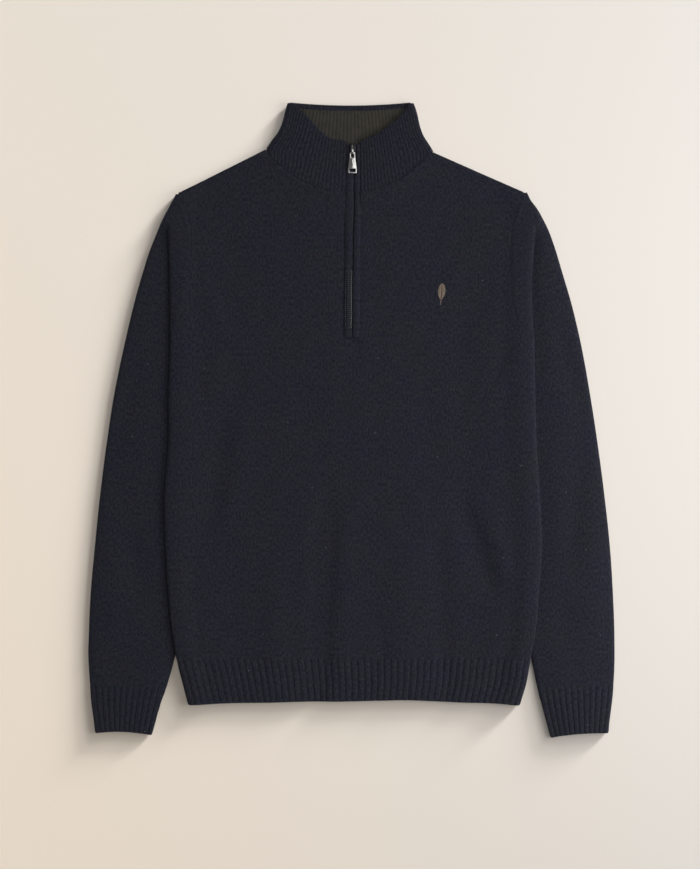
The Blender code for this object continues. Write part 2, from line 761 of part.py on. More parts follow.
def makeSlider():
    """The slider's body, tapered towards the bottom, with the bridge that holds the pull tab."""
    x = zipCentre(pivotY)
    base = tapeHeight(pivotY) + tapeThick / 2 + layerGap
    middle, half = (base + sliderTop) / 2, (sliderTop - base) / 2
    rings = [slab((x, y, middle), width / 2, half)
             for y, width in ((pivotY - 6.2, 6.0), (pivotY - 2, 7.2), (pivotY + 5, 8.6), (pivotY + 9.5, 8.8),
                              (pivotY + 11.2, 6.0))]
    body = loft("zip_slider", rings, metal)
    inside, bar, halfWidth = 1.9, 1.0, 1.0
    foot = sliderTop - 0.6
    crown = pivotZ + inside
    arch = [(-inside - bar, foot), (-inside - bar, crown), (-inside, crown + bar), (inside, crown + bar),
            (inside + bar, crown), (inside + bar, foot), (inside, foot), (inside, crown - 0.5),
            (inside - 0.5, crown), (0.5 - inside, crown), (-inside, crown - 0.5), (-inside, foot)]
    rings = [[(x + s * halfWidth, pivotY + y, z) for y, z in arch] for s in (-1, 1)]
    bridge = loft("zip_bridge", rings, metal)
    join = body.modifiers.new("bridge", "BOOLEAN")
    join.operation = "UNION"
    join.object = bridge
    collection.objects.unlink(bridge)
    cutters.objects.link(bridge)
    bridge.hide_render = True
    bridge.display_type = "WIRE"
    return body


def makeTab():
    """A flat tapered tab with a square eye at the pivot and a slot near its end."""
    x = zipCentre(pivotY)
    eyeTop, eyeEnd = -1.35, -4.85
    slotTop, slotEnd = pivotY - 24.2, pivotY - 20.6
    half = tabThick / 2

    def width(y):
        return mix(tabTopWidth, tabEndWidth, ease((pivotY - y - 4) / 20)) / 2

    outline = [(pivotY + 1.35, width(pivotY) - 1.6), (pivotY + 0.6, width(pivotY) - 0.3),
               (pivotY - 6, width(pivotY - 6)), (pivotY - 14, width(pivotY - 14)), (pivotY - 20, width(pivotY - 20)),
               (tabEnd + 1.2, tabEndWidth / 2), (tabEnd, tabEndWidth / 2 - 1.2)]
    ring = [(w, y) for y, w in outline] + [(-w, y) for y, w in outline[::-1]]
    rings = [[(x + w, y, pivotZ + s * half) for w, y in ring] for s in (-1, 1)]
    tab = loft("pull_tab", rings, metal)
    holes = (("tab_eye", pivotY + eyeTop, pivotY + eyeEnd, 2.0), ("tab_slot", slotEnd, slotTop, 3.5))
    for name, high, low, reach in holes:
        bpy.ops.mesh.primitive_cube_add(size=1)
        cutter = bpy.context.object
        cutter.name = name
        for owner in list(cutter.users_collection):
            owner.objects.unlink(cutter)
        cutters.objects.link(cutter)
        cutter.location = (x * mm, (high + low) / 2 * mm, pivotZ * mm)
        cutter.scale = (2 * reach * mm, (high - low) * mm, 4 * mm)
        cutter.hide_render = True
        cutter.display_type = "WIRE"
        cut = tab.modifiers.new(name, "BOOLEAN")
        cut.operation = "DIFFERENCE"
        cut.object = cutter
    pivot = np.array((x, pivotY, pivotZ)) * mm
    for vert in tab.data.vertices:
        vert.co = np.array(vert.co) - pivot
    tab.location = pivot
    return tab


for old in list(bpy.data.objects):
    bpy.data.objects.remove(old)
collection = bpy.data.collections.new(partName)
cutters = bpy.data.collections.new("cutters")
bpy.context.scene.collection.children.link(collection)
bpy.context.scene.collection.children.link(cutters)

navy = addMaterial("navy_wool", 0.95)
olive = addMaterial("olive_rib", 0.95)
tapeCloth = addMaterial("zip_tape", 0.85)
metal = addMaterial("zip_metal", 0.3, 1.0)

halfColumns = list(np.linspace(0, 1, 16))
makeFront(halfColumns, 8)
makeBack()
makeHemFront()
makeHemBack()
makeSleeve(-1, "sleeve_left", 10, 16)
makeSleeve(1, "sleeve_right", 10, 16)
makeCuff(-1, "cuff_left")
makeCuff(1, "cuff_right")
makeCollar()
makeFacing()
makeTape(-1, "zip_tape_left")
makeTape(1, "zip_tape_right")
makeZipEdge(-1, "zip_edge_left")
makeZipEdge(1, "zip_edge_right")
makeSlider()
makeTab()
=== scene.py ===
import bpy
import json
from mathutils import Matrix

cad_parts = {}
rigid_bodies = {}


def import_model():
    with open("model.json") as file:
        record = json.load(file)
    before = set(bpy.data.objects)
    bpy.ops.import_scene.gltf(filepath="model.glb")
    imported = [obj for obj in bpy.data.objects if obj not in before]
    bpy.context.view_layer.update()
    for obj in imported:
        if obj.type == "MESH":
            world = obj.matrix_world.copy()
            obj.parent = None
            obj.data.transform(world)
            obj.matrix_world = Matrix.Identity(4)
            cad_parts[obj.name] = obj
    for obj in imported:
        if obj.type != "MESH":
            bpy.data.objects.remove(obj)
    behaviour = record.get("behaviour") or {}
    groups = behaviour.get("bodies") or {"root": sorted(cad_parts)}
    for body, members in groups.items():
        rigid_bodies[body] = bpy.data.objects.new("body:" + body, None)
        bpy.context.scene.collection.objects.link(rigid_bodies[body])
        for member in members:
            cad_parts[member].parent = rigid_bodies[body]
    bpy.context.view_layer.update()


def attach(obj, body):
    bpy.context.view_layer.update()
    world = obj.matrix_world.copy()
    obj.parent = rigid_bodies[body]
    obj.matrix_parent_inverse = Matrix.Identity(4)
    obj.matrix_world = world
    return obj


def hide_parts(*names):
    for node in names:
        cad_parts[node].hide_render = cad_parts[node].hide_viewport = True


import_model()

import json
import math

import bpy
import numpy as np

# Quarter zip sweater, lying flat. +X is the wearer's left, +Y runs to the collar, +Z is up.
# Sizes are in millimetres; mm turns them into metres.
# Distances from the centre line are positive on both sides, in columns named left (-X) and right (+X).
mm = 0.001


def table(columns, *rows):
    return {name: np.array([row[i] for row in rows], float) for i, name in enumerate(columns.split())}


cloth = {
    "wall": 2.6,            # knit panels
    "ribWall": 2.2,         # rib in a valley
    "ribRise": 1.0,         # how far a rib stands out of its valley
    "facingWall": 1.3,
    "facingRise": 0.45,
    "seamGap": 0.05,
    "layerGap": 0.4,
}
wall, ribWall, seamGap, layerGap = (cloth[name] for name in ("wall", "ribWall", "seamGap", "layerGap"))

# Heights of the middle of each cloth layer above the floor
backLayer = wall / 2
sleeveLayer = backLayer + 0.15
sleeveTopAtFold = backLayer + wall + 0.5
foldReturn = sleeveTopAtFold + wall + layerGap

body = {
    "hemTop": -295.8, "hemBottom": -355.9, "hemRibs": 8.4,
    "cuffTop": -329.4, "cuffBottomLeft": -389.1, "cuffBottomRight": -390.2, "cuffRibs": 8.0,
    "cuffTiltLeft": 2.6, "cuffTiltRight": 5.6,       # how much lower a cuff hangs at its inner end
    "cuffBowLeft": 3.0, "cuffBowRight": 2.2,         # how much lower its ends hang than its middle
    "armpit": 103.0, "underarm": 20.0,               # where the armhole seam ends, where the sleeve closes
    "shoulderX": 216.0, "shoulderEndLeft": 282.6, "shoulderEndRight": 284.4, "shoulderRound": 2.6,
    "chestHeight": 5.9, "neckHeight": 7.6,           # of the middle of the cloth
    "foldLead": 7.0, "foldRound": 0.9, "crest": 12,  # a side fold is highest a little inside its edge
    "neckSeamLow": 285.0, "neckDrop": 49.0, "neckReachLeft": 106.0, "neckReachRight": 99.0, "backNeckDip": 9.0,
}
foldLead, shoulderX = body["foldLead"], body["shoulderX"]
armpitRows = body["armpit"] + np.array([0.05, 0.6, 1.3, 2.1])  # close together, because body and sleeve part here

zipSizes = {
    "top": 344.0, "bottom": 103.8, "topX": 3.6, "bottomX": 1.4, "leanLength": 245.2, "slitHalf": 9.6,
    "tapeWidth": 13.0, "tapeThick": 0.6, "rollBottom": 103.2, "rollTop": 343.5, "rollThick": 3.4, "toothPitch": 2.6,
}

# Folds and edges of body and sleeves, level by level from the cuffs up: the body's side fold, the sleeve's outer
# and inner edges, the back panel's edge, and the heights at which the side fold leaves the front and runs below it
levels = table(
    "y foldLeft foldRight outLeft outRight innerLeft innerRight backLeft backRight rise under",
    (-392, 193.4, 203.0, 317.7, 321.3, 250.5, 252.2, 180.0, 188.0, 8.2, 1.3),
    (-357, 201.2, 210.5, 322.7, 325.6, 239.5, 241.4, 188.5, 196.5, 8.4, 1.3),
    (-330, 208.3, 218.5, 324.9, 328.2, 230.5, 234.8, 195.0, 204.0, 9.6, 2.0),
    (-296, 217.0, 224.3, 327.2, 329.6, 220.8, 227.2, 202.0, 208.0, 11.0, 6.4),
    (-266, 222.0, 230.0, 326.5, 329.3, 212.0, 219.5, 197.0, 204.0, 11.8, 7.3),
    (-216, 227.0, 234.5, 324.0, 327.4, 203.0, 210.5, 187.0, 194.5, 12.2, 7.3),
    (-158, 230.5, 238.5, 318.8, 323.6, 195.5, 203.0, 179.5, 187.0, 12.4, 7.3),
    (-100, 232.0, 236.0, 312.9, 317.4, 192.0, 197.5, 176.0, 181.5, 12.4, 7.3),
    (-26, 226.5, 231.4, 303.5, 307.7, 189.5, 194.0, 173.5, 178.0, 12.4, 7.3),
    (34, 226.5, 229.8, 294.2, 298.4, 188.5, 191.5, 180.0, 184.0, 12.4, 7.3),
    (94, 224.5, 228.6, 281.7, 287.5, 188.5, 191.0, 190.0, 192.0, 12.4, 7.3),
    (144, 225.0, 226.0, 269.9, 275.7, 195.0, 197.0, 196.0, 196.5, 12.2, 7.3),
    (184, 225.5, 226.2, 258.6, 263.9, 205.5, 208.0, 198.0, 198.5, 11.9, 7.3),
    (214, 226.5, 228.2, 248.8, 254.8, 216.0, 220.5, 198.5, 199.0, 11.5, 7.3),
    (234, 227.0, 229.6, 240.5, 247.5, 223.6, 226.6, 199.5, 200.5, 11.1, 7.1),
    (250, 226.5, 229.6, 233.7, 239.7, 226.5, 229.6, 202.5, 203.5, 9.9, 6.2),
    (264, 224.4, 226.2, 226.2, 231.6, 224.4, 226.2, 207.0, 208.0, 8.7, 5.8),
    (274, 219.9, 221.4, 220.9, 224.0, 219.9, 221.4, 211.5, 212.5, 7.6, 5.6),
    (282, 216.3, 217.4, 217.0, 220.2, 216.3, 217.4, 215.6, 216.0, 7.0, 5.4),
    (286, 215.8, 216.4, 216.0, 217.6, 215.8, 216.4, 215.6, 216.0, 6.8, 5.4),
)

# Armhole seam on the front, from the armpit up to the shoulder
armhole = table(
    "y seamLeft seamRight",
    (103, 217.6, 224.6),
    (116, 215.5, 214.5),
    (132, 211.5, 206.0),
    (154, 206.0, 201.8),
    (184, 201.5, 199.8),
    (212, 199.0, 199.6),
    (238, 199.5, 201.5),
    (263, 206.5, 207.5),
    (282, 215.6, 216.0),
)

# Soft creases: a trough (rise below 0) or a ridge along a line
frontFolds = table(
    "x0 y0 x1 y1 width rise",
    (-160, 10, -179, -150, 17, -2.7),
    (-136, 0, -150, -130, 15, 1.8),
    (-28, -95, -42, -360, 15, -2.8),
    (-6, -120, -14, -330, 16, 1.6),
    (138, -106, 182, -224, 13, -2.3),
    (160, -96, 202, -205, 13, 1.4),
    (111, -150, 120, -350, 11, -2.0),
    (70, -150, 62, -340, 18, 1.4),
    (-92, -190, -98, -350, 16, 1.4),
    (-150, 235, -95, 212, 8, 1.2),
    (168, 240, 120, 160, 14, 1.3),
    (-178, 150, -120, 60, 13, 1.2),
    (-12, 101, -34, 88, 3.5, 0.7),
    (8, 99, 30, 92, 4.0, 0.8),
    (-10, 104, 3, 98, 2.2, -1.1),
    (-10, 99, 5, 94, 2.4, 0.9),
    (9, 104, 16, 90, 2.6, 0.7),
    (-2, 93, 12, 84, 2.6, -0.6),
    (-60, 40, -48, -40, 15, -0.8),
    (84, 60, 102, -60, 16, -0.9),
    (60, -60, 96, -130, 9, 0.7),
    (-170, 190, -150, 120, 7, -0.7),
    (-196, 60, -176, 20, 6, -0.8),
    (198, 84, 172, 40, 7, -0.9),
    (186, 64, 150, 30, 6, 0.6),
    (-60, 262, -36, 238, 6, 0.7),
    (66, 262, 40, 236, 6, 0.6),
    (-190, -230, -160, -262, 8, -0.7),
    (30, -240, 44, -290, 7, -0.7),
)
sleeveFolds = table(
    "side x0 y0 x1 y1 width rise",
    (-1, 268, 60, 300, -60, 10, -1.6),
    (-1, 276, -120, 262, -230, 12, -1.8),
    (-1, 300, -150, 296, -290, 12, 1.4),
    (1, 262, 110, 288, 10, 9, -1.5),
    (1, 285, -40, 276, -180, 12, -1.8),
    (1, 306, -110, 300, -280, 12, 1.3),
    (1, 262, -230, 275, -310, 10, -1.4),
    (-1, 246, 96, 276, 70, 5, -0.7),
    (-1, 248, -30, 290, -52, 6, 0.6),
    (-1, 236, -210, 250, -290, 6, -0.8),
    (-1, 282, -262, 300, -318, 6, -0.8),
    (1, 250, 60, 280, 36, 5, -0.7),
    (1, 252, -60, 292, -90, 6, 0.6),
    (1, 244, -180, 252, -260, 7, 0.7),
    (1, 296, -250, 310, -316, 6, -0.8),
)

# How far the hem's lower edge is lifted, from side to side
hemEdge = table(
    "x lift",
    (-206, -1.2),
    (-195, -0.8),
    (-150, 1.3),
    (-105, 1.9),
    (-60, 3.1),
    (-15, 3.3),
    (30, 4.2),
    (74, 5.0),
    (97, 4.0),
    (120, 2.9),
    (142, 2.0),
    (165, 1.5),
    (187, 0.7),
    (206, -1.3),
)

# Outline of the standing collar: its sides, and the top edge of its front
collarSides = table(
    "y edgeLeft edgeRight",
    (334, 104.9, 103.0),
    (344, 98.8, 96.8),
    (354, 92.0, 90.6),
    (364, 87.4, 86.8),
    (374, 84.2, 84.4),
    (384, 82.0, 82.2),
    (395, 79.0, 78.5),
)
collarFrontTop = table(
    "x y",
    (-80, 396.0),
    (-70, 393.0),
    (-62.5, 387.6),
    (-55, 380.2),
    (-48.5, 373.0),
    (-40, 363.0),
    (-32, 355.6),
    (-23.5, 350.6),
    (-14, 349.0),
    (-7, 348.2),
    (10, 346.2),
    (18.5, 350.6),
    (30, 355.4),
    (41, 362.4),
    (55.5, 374.5),
    (63, 381.8),
    (69.5, 388.5),
    (75, 393.6),
    (80, 396.0),
)


def read(rows, column, at):
    keys, values = rows[next(iter(rows))], rows[column]     # a smooth curve through one column
    slopes = np.gradient(values, keys)
    i = np.clip(np.searchsorted(keys, at) - 1, 0, len(keys) - 2)
    span = keys[i + 1] - keys[i]
    t = np.clip((at - keys[i]) / span, 0, 1)
    ends = (2 * t**3 - 3 * t**2 + 1) * values[i] + (3 * t**2 - 2 * t**3) * values[i + 1]
    return ends + span * ((t**3 - 2 * t**2 + t) * slopes[i] + (t**3 - t**2) * slopes[i + 1])


def named(name, side):
    return name + ("Right" if side > 0 else "Left")


def sided(rows, column, side, at):
    return read(rows, named(column, side), at)


def bySide(x, rows, column, at):
    return np.where(x > 0, sided(rows, column, 1, at), sided(rows, column, -1, at))


def seamX(side, y):
    return sided(armhole, "seam", side, y)


def ease(t):
    t = np.clip(t, 0.0, 1.0)
    return t * t * (3 - 2 * t)


def mix(a, b, t):
    return a + (b - a) * t


def spline(controls, perSpan=8):
    p = np.array(controls, float)
    p = np.vstack([2 * p[0] - p[1], p, 2 * p[-1] - p[-2]])
    t = (np.arange(perSpan) / perSpan)[:, None]
    spans = [((1 - t)**3 * p[i] + (3 * t**3 - 6 * t**2 + 4) * p[i + 1]
              + (-3 * t**3 + 3 * t**2 + 3 * t + 1) * p[i + 2] + t**3 * p[i + 3]) / 6 for i in range(len(p) - 3)]
    return np.vstack(spans + [p[-2][None]])


def lengthAlong(points):
    steps = np.linalg.norm(np.diff(points, axis=0), axis=1)
    return np.concatenate([[0], np.cumsum(steps)])


def spaced(points, count):
    length = lengthAlong(points)
    at = np.linspace(0, length[-1], count + 1)
    return np.stack([np.interp(at, length, points[:, axis]) for axis in range(points.shape[1])], axis=1)


def creases(rows, x, y):
    total = np.zeros(np.broadcast(x, y).shape)
    for x0, y0, x1, y1, width, rise in zip(*(rows[name] for name in ("x0", "y0", "x1", "y1", "width", "rise"))):
        runX, runY = x1 - x0, y1 - y0
        along = ((x - x0) * runX + (y - y0) * runY) / (runX**2 + runY**2)
        across = ((x - x0) * runY - (y - y0) * runX) / math.hypot(runX, runY)
        fade = ease((along + 0.25) / 0.5) * ease((1.25 - along) / 0.5)
        total = total + rise * fade * np.exp(-((across / width) ** 2))
    return total


def ripple(x, y, seed, longest, shortest, count=14):
    random = np.random.default_rng(seed)                     # small unevenness of cloth that was laid by hand
    total = np.zeros(np.broadcast(x, y).shape)
    for _ in range(count):
        angle, phase = random.uniform(0, math.pi), random.uniform(0, 2 * math.pi)
        wave = random.uniform(shortest, longest)
        total = total + np.sin((x * math.cos(angle) + y * math.sin(angle)) * 2 * math.pi / wave + phase)
    return total / math.sqrt(count)


def neckReach(x):
    return np.where(x < 0, body["neckReachLeft"], body["neckReachRight"])


def neckLine(x):
    return body["neckSeamLow"] + body["neckDrop"] * np.minimum(np.abs(x) / neckReach(x), 1.0) ** 2.2


def shoulderLine(x):
    inward = shoulderX - np.abs(x)
    return np.where(x < 0, body["shoulderEndLeft"] + 0.5 * inward, body["shoulderEndRight"] + 0.44 * inward)


def panelTop(x):
    return np.where(np.abs(x) <= neckReach(x), neckLine(x) + 0.25, shoulderLine(x) - body["shoulderRound"])


def neckDistance(x, y):
    return np.hypot(np.maximum(np.abs(x) - neckReach(x), 0.0), np.maximum(neckLine(x) - y, 0.0))


def roundOff(y):
    return body["foldRound"] * ease((250 - y) / 40)


def topHeight(x, y):
    fold, inner = bySide(x, levels, "fold", y), bySide(x, levels, "inner", y)
    rise = read(levels, "rise", y)
    shelf = 0.72 * rise - 0.1
    beyond = np.abs(x) - fold
    reach = np.maximum(fold - inner, 28.0) + 8              # of the slope that climbs onto the sleeve
    chest, neck, crest = body["chestHeight"], body["neckHeight"], body["crest"]
    height = chest + (shelf - chest) * ease((beyond + reach + 46) / 46)
    height = height + (rise - shelf) * ease((beyond + reach) / (reach - crest))
    height = height - roundOff(y) * ease((beyond + crest) / crest)
    height = height + (neck - chest) * ease(1 - neckDistance(x, y) / 38)
    calm = ease(-beyond / 22)
    lowest = backLayer + wall + layerGap
    return np.maximum(height + creases(frontFolds, x, y) * calm, lowest)


def foldPath(side, y):
    fold, inner = sided(levels, "fold", side, y), sided(levels, "inner", side, y)
    rise, under = read(levels, "rise", y) - roundOff(y), read(levels, "under", y)
    end = min(inner + mix(4, 16, ease((y - 20) / 30)), fold - 9)
    near = fold - foldLead
    return spline([(near, topHeight(side * near, y)), (fold, rise), (fold, under), (near, under),
                   (mix(near, end, 0.5), under), (end, under)])


def underPath(side, y):
    fold, inner = sided(levels, "fold", side, y), sided(levels, "inner", side, y)
    start, back = min(inner + 4, fold - 9), sided(levels, "back", side, y) + 4 * seamGap
    under = read(levels, "under", y)
    return spline([(start, under), (mix(start, back, 0.3), under), (mix(start, back, 0.7), mix(under, backLayer, 0.8)),
                   (mix(start, back, 0.85), backLayer), (back, backLayer)])


def pleatAt(side, y):
    # The pleat opens upward: its depth, its inner end, and the height where body cloth becomes sleeve cloth
    fold = sided(levels, "fold", side, y)
    tuck = fold - sided(levels, "inner", side, y)
    kept = ease(tuck / 8) if y > body["armpit"] else 1.0
    middle = mix(read(levels, "rise", y) - 0.3, (sleeveTopAtFold + foldReturn) / 2, ease(tuck / 5))
    return tuck, fold - tuck * kept, middle


def pleatPath(side, y):
    seam = seamX(side, y) + seamGap / 2
    fold, rise = sided(levels, "fold", side, y), read(levels, "rise", y) - roundOff(y)
    tuck, inner, join = pleatAt(side, y)
    under = mix(join, foldReturn, ease(tuck / 8))
    lead = min(foldLead, 0.5 * (fold - seam))
    midway = mix(seam, fold - lead, 0.6)
    return [(seam, topHeight(side * seam, y)), (midway, topHeight(side * midway, y)),
            (fold - lead, topHeight(side * (fold - lead), y)), (fold, rise), (fold, under),
            (fold - min(foldLead, 0.4 * (fold - inner)), under), (mix(fold, inner, 0.8), under)]


def sleeveCreases(side, x, y):
    chosen = sleeveFolds["side"] == side
    return creases({name: values[chosen] for name, values in sleeveFolds.items()}, x, y)


# The arm's rounding from its inner to its outer edge: heights at the sides and in the middle
arm = {
    "shares": (0.08, 0.2, 0.32, 0.44, 0.56, 0.68, 0.8, 0.9), "edgeHeight": 5.4,
    "shoulderLeft": 5.9, "crownLeft": 6.4, "climbLeft": 0.12, "shoulderRight": 5.2, "crownRight": 7.2, "climbRight": 0.3,
}


def sleevePath(side, y):
    fold, out = sided(levels, "fold", side, y), sided(levels, "out", side, y)
    pleated, closed = y > body["armpit"], y < body["underarm"] - 30
    tuck, inner, middle = pleatAt(side, y)
    pinch = ease(tuck / 6) if pleated else 1.0
    start = middle if pleated else (sleeveLayer + sleeveTopAtFold) / 2 if closed else sleeveTopAtFold
    top = mix(middle, sleeveTopAtFold, pinch)
    low = min(top, arm["edgeHeight"])
    clear = min(max(inner + 4, fold + 2), mix(inner, out, 0.6)) if y > body["hemTop"] else inner + 4
    width = out - clear
    controls = [(inner, start), (min(inner + 3, mix(inner, clear, 0.3)), top), (mix(inner, clear, 0.6), top), (clear, top)]
    for share in arm["shares"]:
        x = clear + share * width
        bump = (sleeveCreases(side, x, y) + 0.22 * ripple(x, y, 3 + side, 60, 26)) * ease(width / 60)
        crown = mix(arm[named("shoulder", side)], arm[named("crown", side)], math.sin(math.pi * share) ** 0.7)
        climb = 1 - (1 - min(share / arm[named("climb", side)], 1.0)) ** 2
        height = mix(mix(top, low, share ** 1.5), mix(top, crown, climb), ease(width / 30))
        controls.append((x, max(height + bump, sleeveTopAtFold)))
    edge = min(6.0, 0.3 * width + 1)
    end = mix(inner + 6, sided(levels, "back", side, y) + seamGap, ease((y - body["underarm"] + 40) / 40))
    return controls + [(out, low + 0.6), (out, sleeveLayer), (out - edge, sleeveLayer),
                       (out - 2 * edge, sleeveLayer), (mix(out, end, 0.6), sleeveLayer), (end, sleeveLayer)]


def innerRoll(side, y):
    inner = sided(levels, "inner", side, y)
    return [(inner + 5.6, sleeveLayer), (inner + 3, sleeveLayer), (inner, sleeveLayer)]


def lifted(line, y):
    return np.column_stack([line[:, 0], np.full(len(line), y), line[:, 1]])


def mapRow(across, y):
    return np.column_stack([across, np.full(len(across), y)])


def hung(side, line, y):
    inner, out = sided(levels, "inner", side, y), sided(levels, "out", side, y)
    tilt, bow = body[named("cuffTilt", side)], body[named("cuffBow", side)]
    share = np.clip((out - line[:, 0]) / (out - inner), -0.02, 1.02)
    drop = tilt * ease((-250 - y) / 79) * share + bow * ease((-330 - y) / 60) * (2 * share - 1) ** 2
    return np.column_stack([line[:, 0], y - drop, line[:, 1]])


def zipCentre(y):
    return mix(zipSizes["bottomX"], zipSizes["topX"], (y - zipSizes["bottom"]) / zipSizes["leanLength"])


def tapeHeight(y):
    return mix(4.1, 5.4, ease((y - 280) / 30))


def mirrored(side, points, uv, rib=None):
    if side > 0:
        return points, uv, rib
    return points[:, ::-1] * (-1, 1, 1), uv[:, ::-1] * (-1, 1), None if rib is None else rib[:, ::-1]


def clearSelection():
    if bpy.context.object and bpy.context.object.mode != "OBJECT":
        bpy.ops.object.mode_set(mode="OBJECT")
    bpy.ops.object.select_all(action="DESELECT")


def onlyActive(piece):
    clearSelection()
    piece.select_set(True)
    bpy.context.view_layer.objects.active = piece


def applyModifiers(piece):
    onlyActive(piece)
    for modifier in list(piece.modifiers):
        bpy.ops.object.modifier_apply(modifier=modifier.name)


def editing(on):
    bpy.ops.object.mode_set(mode="EDIT" if on else "OBJECT")


def editAll(piece):
    onlyActive(piece)
    editing(True)
    bpy.ops.mesh.select_all(action="SELECT")


def smooth(piece, degrees=50):
    onlyActive(piece)
    bpy.ops.object.shade_smooth_by_angle(angle=math.radians(degrees))


def laySheet(name, patches, thick, rise=0.0):
    # Each patch is a grid of points seen from outside, with its stitch map and its rib heights
    parts = []
    for points, uv, rib in patches:
        rows, columns = points.shape[:2]
        clearSelection()
        bpy.ops.mesh.primitive_grid_add(x_subdivisions=columns - 1, y_subdivisions=rows - 1, size=1)
        part = bpy.context.object
        mesh = part.data
        mesh.vertices.foreach_set("co", (points * mm).astype(np.float32).ravel())
        corners = np.zeros(len(mesh.loops), np.int32)
        mesh.loops.foreach_get("vertex_index", corners)
        for old in list(mesh.uv_layers):
            mesh.uv_layers.remove(old)
        layer = mesh.uv_layers.new(name="stitches")
        layer.data.foreach_set("uv", (uv.reshape(-1, 2)[corners] * mm).astype(np.float32).ravel())
        heights = mesh.attributes.new("rib", "FLOAT", "POINT")
        heights.data.foreach_set("value", (np.zeros((rows, columns)) if rib is None else rib).astype(np.float32).ravel())
        parts.append(part)
    clearSelection()
    for part in parts:
        part.select_set(True)
    bpy.context.view_layer.objects.active = parts[0]
    if len(parts) > 1:
        bpy.ops.object.join()
    piece = bpy.context.object
    piece.name = piece.data.name = name
    editAll(piece)
    bpy.ops.mesh.remove_doubles(threshold=0.000002)
    editing(False)
    solid = piece.modifiers.new("wall", "SOLIDIFY")
    solid.thickness = (thick + rise) * mm
    solid.offset = 0.0
    if rise:                                                         # ribs stand out of one side alone
        mesh = piece.data
        count = len(mesh.vertices)
        place, normal, heights = np.zeros(count * 3), np.zeros(count * 3), np.zeros(count)
        mesh.vertices.foreach_get("co", place)
        mesh.vertices.foreach_get("normal", normal)
        mesh.attributes["rib"].data.foreach_get("value", heights)
        mesh.vertices.foreach_set("co", place - normal * thick / 2 * mm)
        group = piece.vertex_groups.new(name="thickness")
        share = np.clip((thick + rise * heights) / (thick + rise), 0, 1)
        for step in np.unique(np.round(share, 2)):
            group.add(np.flatnonzero(np.round(share, 2) == step).tolist(), float(step), "REPLACE")
        solid.offset = 1.0
        solid.vertex_group = "thickness"
    applyModifiers(piece)
    smooth(piece)
    return piece


def gridPatch(x, y, z, rib=None):
    x, y, z = np.broadcast_arrays(x, y, z)
    return np.stack([x, y, z], axis=-1), np.stack([x, y], axis=-1), rib


def dress(piece, material, node=None, rider="garment"):
    piece.data.materials.clear()
    piece.data.materials.append(material)
    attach(piece, rider)
    if node:
        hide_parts(node)


# Materials


def addNode(tree, kind, inputs=None, **settings):
    node = tree.nodes.new(kind)
    for name, value in settings.items():
        setattr(node, name, value)
    for socket, value in (inputs or {}).items():
        if isinstance(value, bpy.types.NodeSocket):
            tree.links.new(value, node.inputs[socket])
        else:
            node.inputs[socket].default_value = value
    return node


def calc(tree, operation, a, b=0.0, c=0.0):
    return addNode(tree, "ShaderNodeMath", {0: a, 1: b, 2: c}, operation=operation).outputs[0]


def ramp(tree, value, low, high, toLow=0.0, toHigh=1.0):
    return addNode(tree, "ShaderNodeMapRange", {"Value": value, "From Min": low, "From Max": high,
                                                "To Min": toLow, "To Max": toHigh}).outputs["Result"]


def blendColour(tree, factor, a, b, kind="MIX"):
    node = addNode(tree, "ShaderNodeMix", {"Factor": factor}, data_type="RGBA", blend_type=kind)
    for socket, value in ((node.inputs[6], a), (node.inputs[7], b)):
        if isinstance(value, bpy.types.NodeSocket):
            tree.links.new(value, socket)
        else:
            socket.default_value = value
    return node.outputs[2]


def noise(tree, vector, scale, detail):
    return addNode(tree, "ShaderNodeTexNoise", {"Vector": vector, "Scale": scale, "Detail": detail}).outputs["Fac"]


def stitchPlace(tree):
    return addNode(tree, "ShaderNodeUVMap", uv_map="stitches").outputs[0]


def objectPlace(tree):
    return addNode(tree, "ShaderNodeTexCoord").outputs["Object"]


def axes(tree, vector):
    return addNode(tree, "ShaderNodeSeparateXYZ", {"Vector": vector}).outputs


def addBump(tree, shader, height, strength, depth):
    bump = addNode(tree, "ShaderNodeBump", {"Strength": strength, "Distance": depth * mm, "Height": height})
    tree.links.new(bump.outputs[0], shader.inputs["Normal"])


def startMaterial(name, roughness, specular=0.5, metallic=0.0):
    material = bpy.data.materials.new(name)
    material.use_nodes = True
    shader = material.node_tree.nodes["Principled BSDF"]
    shader.inputs["Roughness"].default_value = roughness
    shader.inputs["Specular IOR Level"].default_value = specular
    shader.inputs["Metallic"].default_value = metallic
    return material, material.node_tree, shader


wool = {
    "shade": (0.0180, 0.0186, 0.0335, 1.0),      # main yarn
    "warm": (0.0215, 0.0210, 0.0320, 1.0),       # brownish fibres carded in
    "fleck": (0.112, 0.116, 0.152, 1.0),
    "nap": 0.10, "napTint": (0.62, 0.66, 0.80, 1.0), "bumpDepth": 0.45,
}


